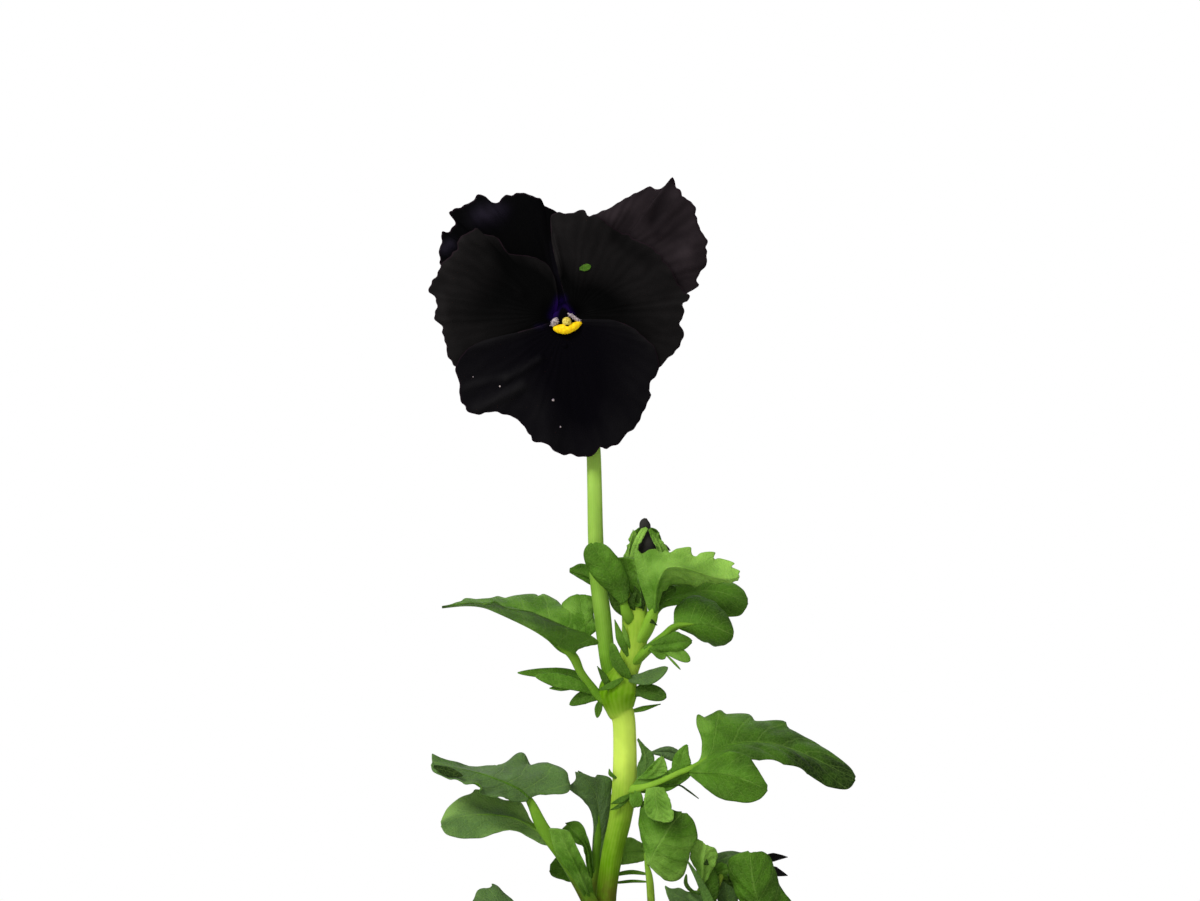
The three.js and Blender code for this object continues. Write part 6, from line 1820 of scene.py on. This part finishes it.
    def build_beards(self, growth: Growth) -> None:
        """Makes the two pale tufts of hair on either side of the stigma.

        Args:
            growth: what the meshes are added to.
        """
        draw = np.random.default_rng(self.hair_seed)
        for path in self.beards:
            growth.stalk(path, sides=16, steps=20, tissue=Tissue.STALK)
            for x, y, z, radius in through(path, draw.uniform(0.1, 0.9, self.hairs)):
                turn, lean = draw.uniform(-1.4, 1.4), draw.uniform(-0.2, 0.2)
                across, ahead = radius * math.sin(turn), radius * math.cos(turn)
                foot = (x + 0.8 * across, y - 0.8 * ahead, z + lean, 0.12)
                tip = (x + 1.3 * across + lean, y - 1.3 * ahead - 0.1, z + 1.6 * lean, 0.1)
                growth.stalk([foot, tip], sides=6, steps=3, tissue=Tissue.STALK)

    def build_pistil(self, finishes: Finishes) -> None:
        """Makes the style, the stigma and the beards.

        Args:
            finishes: the finishes of the plant and its pot.
        """
        growth = Growth("grown_pistil")
        self.build_stigma(growth)
        self.build_beards(growth)
        growth.finish("pistil", "pistil", [finishes["stigma"], finishes["beard"], finishes["petal_black"]])

    def build_calyx(self, finishes: Finishes) -> None:
        """Makes the hub and its five pointed sepals.

        Args:
            finishes: the finishes of the plant and its pot.
        """
        growth = Growth("grown_flower_calyx")
        x, _, z = self.throat
        turns = [(math.cos(turn), math.sin(turn)) for turn in np.linspace(0, math.pi, 13)]
        depth, squash, radius = self.hub_depth, self.hub_squash, self.hub_radius
        hub = [(x, depth - squash * radius * cos, z, radius * sin) for cos, sin in turns]
        growth.stalk(hub, sides=28, steps=36, tissue=Tissue.STALK)
        for bearing in self.sepal_bearings:
            cos, sin = math.cos(math.radians(bearing)), math.sin(math.radians(bearing))
            points = [(x + r * cos, y, z + r * sin) for r, y in ((-1, 6.6), (3, 6.6), (8, 6.8), (13, 8.4))]
            sepal = Lobe(points, self.sepal_width, (-sin, 0, cos), cup=0.2, widest=0.4, pointed=1)
            sepal.grow(growth, 0.4)
        growth.finish("flower_calyx", "leaf", [finishes["leaf"], finishes["leaf_stalk"]])

    def build(self, finishes: Finishes) -> None:
        """Makes the whole flower.

        Args:
            finishes: the finishes of the plant and its pot.
        """
        self.build_petals(finishes)
        self.build_pistil(finishes)
        self.build_calyx(finishes)


@dataclass
class Bud:
    """A closed bud: petals rolled to a point, the sepals that hold them and its short stalk."""

    name: str
    roll: Stalk
    tips: Sequence[Lobe]
    sepals: Sequence[Blade | Lobe]
    cup: Stalk
    stem: Stalk
    tissue: str = "petal_black"
    bloom: float = 0.8
    thickness: float = 0.35

    def build(self, finishes: Finishes) -> None:
        """Makes the rolled petals and the calyx.

        Args:
            finishes: the finishes of the plant and its pot.
        """
        petals = Growth(f"grown_{self.name}_petals")
        petals.stalk(self.roll, sides=40, steps=60, ridges=3, ridge=0.09, twist=0.6, tissue=Tissue.FLESH)
        for tip in self.tips:
            tip.grow(petals, self.thickness)
        petals.paint("bloom", lambda points: np.full(len(points), self.bloom))
        petals.finish(f"{self.name}_petals", "petal", [finishes[self.tissue]])
        calyx = Growth(f"grown_{self.name}_calyx")
        for sepal in self.sepals:
            sepal.grow(calyx, self.thickness)
        calyx.stalk(self.stem, sides=14)
        calyx.stalk(self.cup, sides=18, tissue=Tissue.FLESH)
        calyx.finish(f"{self.name}_calyx", "leaf", [finishes["leaf"], finishes["leaf_stalk"]])


TOP_BUD = Bud(
    "top_bud",
    roll=((7.1, 2.2, 189.6, 0.8), (7.2, 2, 192, 2.2), (7.2, 1.6, 194.6, 2.2), (6.7, 1, 197, 1.3),
          (6.5, 0.6, 198.6, 1.15), (6.6, 0.5, 199.6, 0.85), (6.7, 0.5, 200.2, 0.3)),
    tips=(
        Lobe([(9.4, 1, 192.4), (10.6, 0.8, 193.8), (12.2, 0.8, 193.1)], 1.4, (0, 0, 1), pointed=1),
        Lobe([(7.2, 0.2, 196.6), (7.4, 0, 198.4), (6.9, 0, 199.8)], 0.9, (1, 0, 0)),
    ),
    sepals=(
        Blade(
            rib=[(3, 1.6, 189.6), (3, 1.2, 192.6), (3.5, 1, 195.2), (4.1, 1, 197.4)],
            left=[(1.4, 1.8, 189.8), (2, 1.6, 192.2), (2.9, 1.4, 194.2), (3, 1.3, 195.7), (3.7, 1.1, 197),
                  (4, 1, 197.7)],
            right=[(4.6, 1.2, 189.8), (4.6, 0.8, 192.6), (4.9, 0.8, 195.6), (4.5, 0.9, 197.6)],
            tone=(0.9, 0.7), ruffle=0.4, rows=30, columns=5,
        ),
        Blade(
            rib=[(4.2, -0.4, 189.6), (4.5, -0.9, 193), (5.5, -0.9, 196), (6.7, -0.6, 198.3)],
            left=[(2.9, -0.2, 189.8), (3.5, -0.7, 193.2), (4.6, -0.8, 196), (5.7, -0.7, 197.9)],
            right=[(4.9, -0.6, 189.8), (5, -1.1, 193.4), (6.1, -1.2, 195.7), (7.3, -0.8, 197.9)],
            tone=(1.0, 0.8), crown=-0.3, rows=30, columns=5,
        ),
        Blade(
            rib=[(10.8, -0.4, 189.8), (10, -0.9, 193.4), (8.8, -0.9, 195.8), (7.6, -0.7, 197.9)],
            left=[(9.4, -0.6, 189.8), (9.2, -1.1, 193.4), (8.2, -1.1, 195.5), (7.3, -0.8, 197.6)],
            right=[(12.4, 0.2, 189.8), (11.8, -0.3, 193.2), (10.6, -0.5, 194.9), (9.7, -0.4, 196.2),
                   (9.8, -0.2, 197.2), (8.9, -0.3, 197), (7.9, -0.6, 198)],
            tone=(0.8, 0.6), crown=0.3, rows=40, columns=6,
        ),
        Lobe([(8.4, 4, 190), (9.4, 5, 193.6), (8.6, 4.2, 196.6), (7.6, 3, 198)], 2.4, (1, 0, 0), tone=0.6),
        Lobe([(5.6, 4, 190), (5, 5, 193.6), (5.4, 4.2, 196.6), (6.2, 3, 198.2)], 2.4, (1, 0, 0), tone=0.6),
    ),
    cup=((7.1, 2.2, 188.4, 0.5), (7.1, 2.2, 189.2, 1.9), (7.1, 2.1, 190.6, 2.7), (7.1, 2.1, 191.4, 2.6)),
    stem=((5.6, 2.2, 182.6, 0.9, 0.4), (6.6, 2.6, 186.4, 0.8, 0.5), (7.1, 2.3, 189, 0.9, 0.6)),
    tissue="petal_bud",
)

LOW_BUD = Bud(
    "low_bud",
    roll=((24.6, 3.8, 122.8, 1.2), (26, 4, 123, 2.8), (29, 4, 123.2, 3.2), (32, 3.8, 123.2, 2.4),
          (34.2, 3.6, 123.2, 1.1), (35, 3.6, 123.2, 0.3)),
    tips=(
        Lobe([(31, 3.4, 124.4), (34, 3, 125.2), (36, 2.8, 125.4), (38.1, 2.6, 125.4)], 1.9, (0, 0, 1),
             widest=0.5, pointed=1),
        Lobe([(31, 3.4, 123), (34.4, 3, 122.4), (36.2, 2.8, 121.9), (38.1, 2.8, 121.3)], 2.2, (0, 0, 1),
             widest=0.5, pointed=1),
    ),
    sepals=(
        Lobe([(20.6, 3.4, 122.4), (24.4, 1.2, 123.4), (28, 0.8, 123.8), (31.6, 2, 123.4)], 4.6, (0, 0, 1),
             tone=0.14, pointed=1, dust=(0.6, 0)),
        Lobe([(20, 3.6, 124), (23, 3.4, 125.4), (27, 3.2, 125.7), (31.6, 3.8, 124.6)], 3.2, (0, 1, 0.5),
             tone=0.14, pointed=0.8, dust=(0.8, 0)),
        Lobe([(21, 3.4, 120.4), (24.6, 2, 119.8), (28, 2, 120), (31.6, 3, 121.6)], 4.4, (0, -0.4, 1),
             tone=0.06, pointed=1),
        Lobe([(22, 4.4, 122), (24.6, 7, 123), (28, 7, 123.4), (31.6, 5.4, 123.4)], 4.4, (0, 0, 1), tone=0.1,
             pointed=1),
        Lobe([(25.4, 3.4, 110), (25, 2.6, 115.4), (24, 2.2, 121), (23.6, 2.4, 126.4)], 5.0, (1, 0, 0),
             tone=0.16, dust=(0.7, 0)),
    ),
    cup=((21.2, 3.8, 121.4, 0.5), (22.2, 3.8, 121.8, 1.9), (23.8, 3.8, 122.4, 3), (25, 3.8, 122.8, 3.1)),
    stem=((13.6, 0.4, 101, 1, 0.2), (18, 1.4, 106, 1, 0.2), (21.2, 1.6, 112, 0.7, 0.3),
          (22, 1.3, 117.4, 0.6, 0.6), (23.4, 1.5, 121.2, 0.6, 0.6), (24, 3, 122.6, 0.6, 0.3)),
)


# Pot and soil


@dataclass
class Pot:
    """The plain clay pot, thrown with a band round its rim, and the soil in it."""

    height: float = 95.0
    rim_radius: float = 55.0
    foot_radius: float = 35.0
    waist_radius: float = 48.5
    waist_drop: float = 4.0
    wall: float = 5.0
    floor: float = 6.0
    band_height: float = 22.0
    bevel: float = 1.0
    worn: float = 0.9
    drain_radius: float = 7.0
    segments: int = 144
    soil_top: float = 85.0
    soil_mound: float = 2.5
    soil_rings: int = 46
    soil_segments: int = 150
    soil_heart: float = 0.6
    crumbs: int = 420
    soil_seed: int = 21
    gap: float = 0.6

    def waist_height(self) -> float:
        """Gives the height at which the inner wall turns in, a little under the band."""
        return self.height - self.band_height - self.waist_drop

    def inside(self) -> list[Place]:
        """Gives the radius and height of the inner wall's corners, from the rim down.

        Returns:
            The corners, each as its radius and height.
        """
        return [
            (self.rim_radius - self.wall, self.height),
            (self.waist_radius - self.wall, self.waist_height()),
            (self.foot_radius - self.wall, self.floor),
        ]

    def outline(self) -> list[Place]:
        """Gives the pot's outline, with its edges rounded by wear.

        Returns:
            The corners, each as its radius and height.
        """
        band_foot = self.height - self.band_height
        corners = [
            (self.drain_radius, 0),
            (self.foot_radius, 0),
            (self.waist_radius, band_foot),
            (self.rim_radius - self.bevel, band_foot),
            (self.rim_radius, self.height - self.bevel),
            (self.rim_radius - self.bevel, self.height),
            *self.inside(),
            (self.drain_radius, self.floor),
        ]
        rounded = []
        for before, corner, after in zip(corners[-1:] + corners[:-1], corners, corners[1:] + corners[:1]):
            here = np.asarray(corner, float)
            ends = [np.asarray(end, float) - here for end in (before, after)]
            lengths = [np.linalg.norm(end) for end in ends]
            back, ahead = (end / run * min(self.worn, 0.45 * run) for end, run in zip(ends, lengths))
            for t in (0, 0.25, 0.5, 0.75, 1):
                rounded.append(tuple(here + (1 - t) ** 2 * back + t**2 * ahead))
        return rounded

    def soil_radius(self, height: float) -> float:
        """Gives the soil's radius at a height, a little inside the wall."""
        radii, heights = zip(*reversed(self.inside()))
        return float(np.interp(height, heights, radii)) - self.gap

    def surface(self, out: np.ndarray | float) -> np.ndarray | float:
        """Gives the height of the soil's mounded top at a distance from the middle."""
        edge = self.soil_radius(self.soil_top)
        return self.soil_top + self.soil_mound * (1 - (out / edge) ** 2)

    def build_pot(self, finishes: Finishes) -> None:
        """Makes the pot.

        Args:
            finishes: the finishes of the plant and its pot.
        """
        growth = Growth("fired_pot")
        growth.turned(self.outline(), self.segments)
        growth.finish("pot", "clay", [finishes["clay"]])

    def build_soil_body(self, growth: Growth, draw: np.random.Generator) -> None:
        """Makes the soil's body with its lumpy top, from the middle out and down to the pot's floor.

        Args:
            growth: what the meshes are added to.
            draw: the draw of random numbers.
        """
        rings, segments, base = self.soil_rings, self.soil_segments, self.floor + self.gap
        edge = self.soil_radius(self.soil_top)
        turn = np.linspace(0, FULL_TURN, segments, endpoint=False)[:, None]
        radii = np.linspace(self.soil_heart, edge, rings)
        lumps = draw.uniform(-0.45, 0.55, (segments, rings)) + 0.5 * np.sin(5 * turn) * np.sin(radii / 5)
        top = self.surface(radii) - 0.9 + lumps * np.minimum(1, (edge - radii) / 3)
        heights = (self.soil_top - 2, self.waist_height(), self.floor + 3, base)
        low = [(self.soil_radius(height), height) for height in heights]
        low_radii, low_heights = np.array([*low, (self.soil_heart, base)]).T
        radius = np.tile(np.concatenate([radii, low_radii]), (segments, 1))
        height = np.concatenate([top, np.tile(low_heights, (segments, 1))], axis=1)
        points = np.stack([radius * np.cos(turn), radius * np.sin(turn), height], axis=-1).reshape(-1, 3)
        corner = np.arange(len(points)).reshape(height.shape)
        after = np.roll(corner, -1, axis=0)
        faces = as_faces(corner[:, 1:], after[:, 1:], after[:, :-1], corner[:, :-1])
        faces.append(tuple(corner[:, 0].tolist()))
        faces.append(tuple(corner[::-1, -1].tolist()))
        growth.add(points, faces, points[:, :2] / MAP_LENGTH, Tissue.FLESH)

    def build_crumbs(self, growth: Growth, draw: np.random.Generator) -> None:
        """Strews crumbs over the soil.

        Args:
            growth: what the meshes are added to.
            draw: the draw of random numbers.
        """
        edge = self.soil_radius(self.soil_top)
        for _ in range(self.crumbs):
            bearing = draw.uniform(0, FULL_TURN)
            out = edge * math.sqrt(draw.uniform(0.01, 0.97))
            size = draw.uniform(0.5, 1.5)
            base = self.surface(out) - 1.0
            tilt = draw.uniform(-0.8, 0.8, 2) * size
            x, y = out * math.cos(bearing), out * math.sin(bearing)
            foot = (x - tilt[0], y - tilt[1], base, size * 0.3)
            tip = (x + tilt[0], y + tilt[1], base + size, size * 0.25)
            growth.stalk([foot, (x, y, base + size * 0.5, size), tip], sides=6, steps=5, tissue=Tissue.FLESH)

    def build_soil(self, finishes: Finishes) -> None:
        """Makes the soil with its crumbled top.

        Args:
            finishes: the finishes of the plant and its pot.
        """
        growth = Growth("crumbled_soil")
        draw = np.random.default_rng(self.soil_seed)
        self.build_soil_body(growth, draw)
        self.build_crumbs(growth, draw)
        growth.finish("soil", "soil", [finishes["soil"]])

    def build(self, finishes: Finishes) -> None:
        """Makes the pot and the soil."""
        self.build_pot(finishes)
        self.build_soil(finishes)


# Studio


@dataclass
class Studio:
    """A pale floor, soft light and the camera, set as the photograph was taken."""

    lens: float = 130.0
    sensor: float = 36.0
    frame_width: float = 0.264
    centre: Point = (-0.0033, 0.0, 0.2151)
    floor_radius: float = 1.05
    floor_sides: int = 96
    floor_drop: float = 0.0003
    surround_light: float = 0.4

    def build_camera(self) -> None:
        """Sets the camera level, straight in front of the plant."""
        camera = bpy.data.cameras.new("camera")
        camera.lens = self.lens
        camera.sensor_width = self.sensor
        camera.clip_start = 0.01
        stand = bpy.data.objects.new("camera", camera)
        stand.location = (self.centre[0], -self.frame_width * self.lens / self.sensor, self.centre[2])
        stand.rotation_euler = (math.pi / 2, 0, 0)
        bpy.context.scene.collection.objects.link(stand)
        bpy.context.scene.camera = stand

    def build_lamp(self, name: str, place: Point, size: float, power: float) -> None:
        """Hangs a square soft lamp that points at the plant.

        Args:
            name: the lamp's name.
            place: where it hangs, in metres.
            size: its side in metres.
            power: its power in watts.
        """
        light = bpy.data.lights.new(name, "AREA")
        light.size = size
        light.energy = power
        lamp = bpy.data.objects.new(name, light)
        lamp.location = place
        aim = np.asarray(self.centre) - np.asarray(place)
        pitch, heading = math.acos(-aim[2] / np.linalg.norm(aim)), math.atan2(aim[1], aim[0])
        lamp.rotation_euler = (pitch, 0, heading - math.pi / 2)
        bpy.context.scene.collection.objects.link(lamp)

    def build_world(self) -> None:
        """Makes the white surround, which shines less on the plant than it shows."""
        world = bpy.data.worlds.new("surround")
        world.use_nodes = True
        tree = world.node_tree
        tree.nodes.clear()
        seen = add_node(tree, "ShaderNodeLightPath").outputs["Is Camera Ray"]
        dimmed = {"in1": 0.0, "in2": 1.0, "in3": self.surround_light, "in4": 1.0}
        strength = add_node(tree, "ShaderNodeMapRange", in0=seen, **dimmed).outputs[0]
        back = add_node(tree, "ShaderNodeBackground", Color=(1.0, 1.0, 1.0, 1.0), Strength=strength)
        add_node(tree, "ShaderNodeOutputWorld", Surface=back.outputs[0])
        bpy.context.scene.world = world

    def build_floor(self) -> None:
        """Lays the pale floor, a disc that fades out before the camera's level view would meet it."""
        turn = np.linspace(0, FULL_TURN, self.floor_sides, endpoint=False)
        radius = self.floor_radius
        points = [(radius * math.cos(a), radius * math.sin(a), -self.floor_drop) for a in turn]
        mesh = bpy.data.meshes.new("floor")
        mesh.from_pydata(points, [], [tuple(range(self.floor_sides))])
        mesh.materials.append(PaintedBoard("pale_painted_board", fade_to=radius).build())
        board = bpy.data.objects.new("floor", mesh)
        bpy.context.scene.collection.objects.link(board)

    def build(self) -> None:
        """Sets up the whole studio."""
        self.build_camera()
        self.build_world()
        self.build_lamp("key", (-0.5, -0.6, 0.9), 0.4, 9.5)
        self.build_lamp("fill", (-0.05, -1, 0.2), 0.7, 2.0)
        self.build_lamp("back", (0.15, 0.8, 0.7), 0.6, 1.8)
        self.build_floor()
        bpy.context.scene.view_settings.view_transform = "Standard"


def build_finishes() -> Finishes:
    """Makes every finish of the plant and its pot.

    Returns:
        The finishes.
    """
    stalk_green = {"deep": "#447210", "pale": "#a0cc44", "strand_colour": "#b0d860"}
    flower_green = {"deep": "#578912", "pale": "#a9cd5d", "strand_colour": "#bcdc76"}
    return {
        "leaf": LeafTissue("leaf_tissue").build(),
        "leaf_stalk": StemTissue("leaf_stalk", **stalk_green).build(),
        "stem": StemTissue("juicy_stem").build(),
        "flower_stalk": StemTissue("flower_stalk", **flower_green).build(),
        "petal_black": PetalVelvet("black_petal").build(),
        "petal_blue_black": PetalVelvet("blue_black_petal", ground="#030205", bloom="#181718").build(),
        "petal_lilac_black": PetalVelvet("lilac_black_petal", ground="#010101", bloom="#1f1b26").build(),
        "petal_dusky": PetalVelvet("dusky_petal", ground="#060405", bloom="#2e272a").build(),
        "petal_bud": PetalVelvet("bud_petal", ground="#080807", bloom="#34332f").build(),
        "golden_lip": Mealy("golden_lip", dark="#e9b60c", light="#f8d714", grain=0.7).build(),
        "stigma": Mealy("stigma").build(),
        "beard": Mealy("beard_hair", dark="#76697a", light="#b9ada6").build(),
        "clay": FiredClay("fired_clay").build(),
        "soil": PottingSoil("potting_soil").build(),
    }


def main() -> None:
    """Builds every piece in order."""
    logging.basicConfig(level=logging.INFO, format="%(name)s: %(message)s")
    finishes = build_finishes()
    for assembly in (Pot(), Stems(), Foliage(), Flower(), TOP_BUD, LOW_BUD):
        assembly.build(finishes)
    Studio().build()
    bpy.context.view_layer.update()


if __name__ == "__main__":
    main()
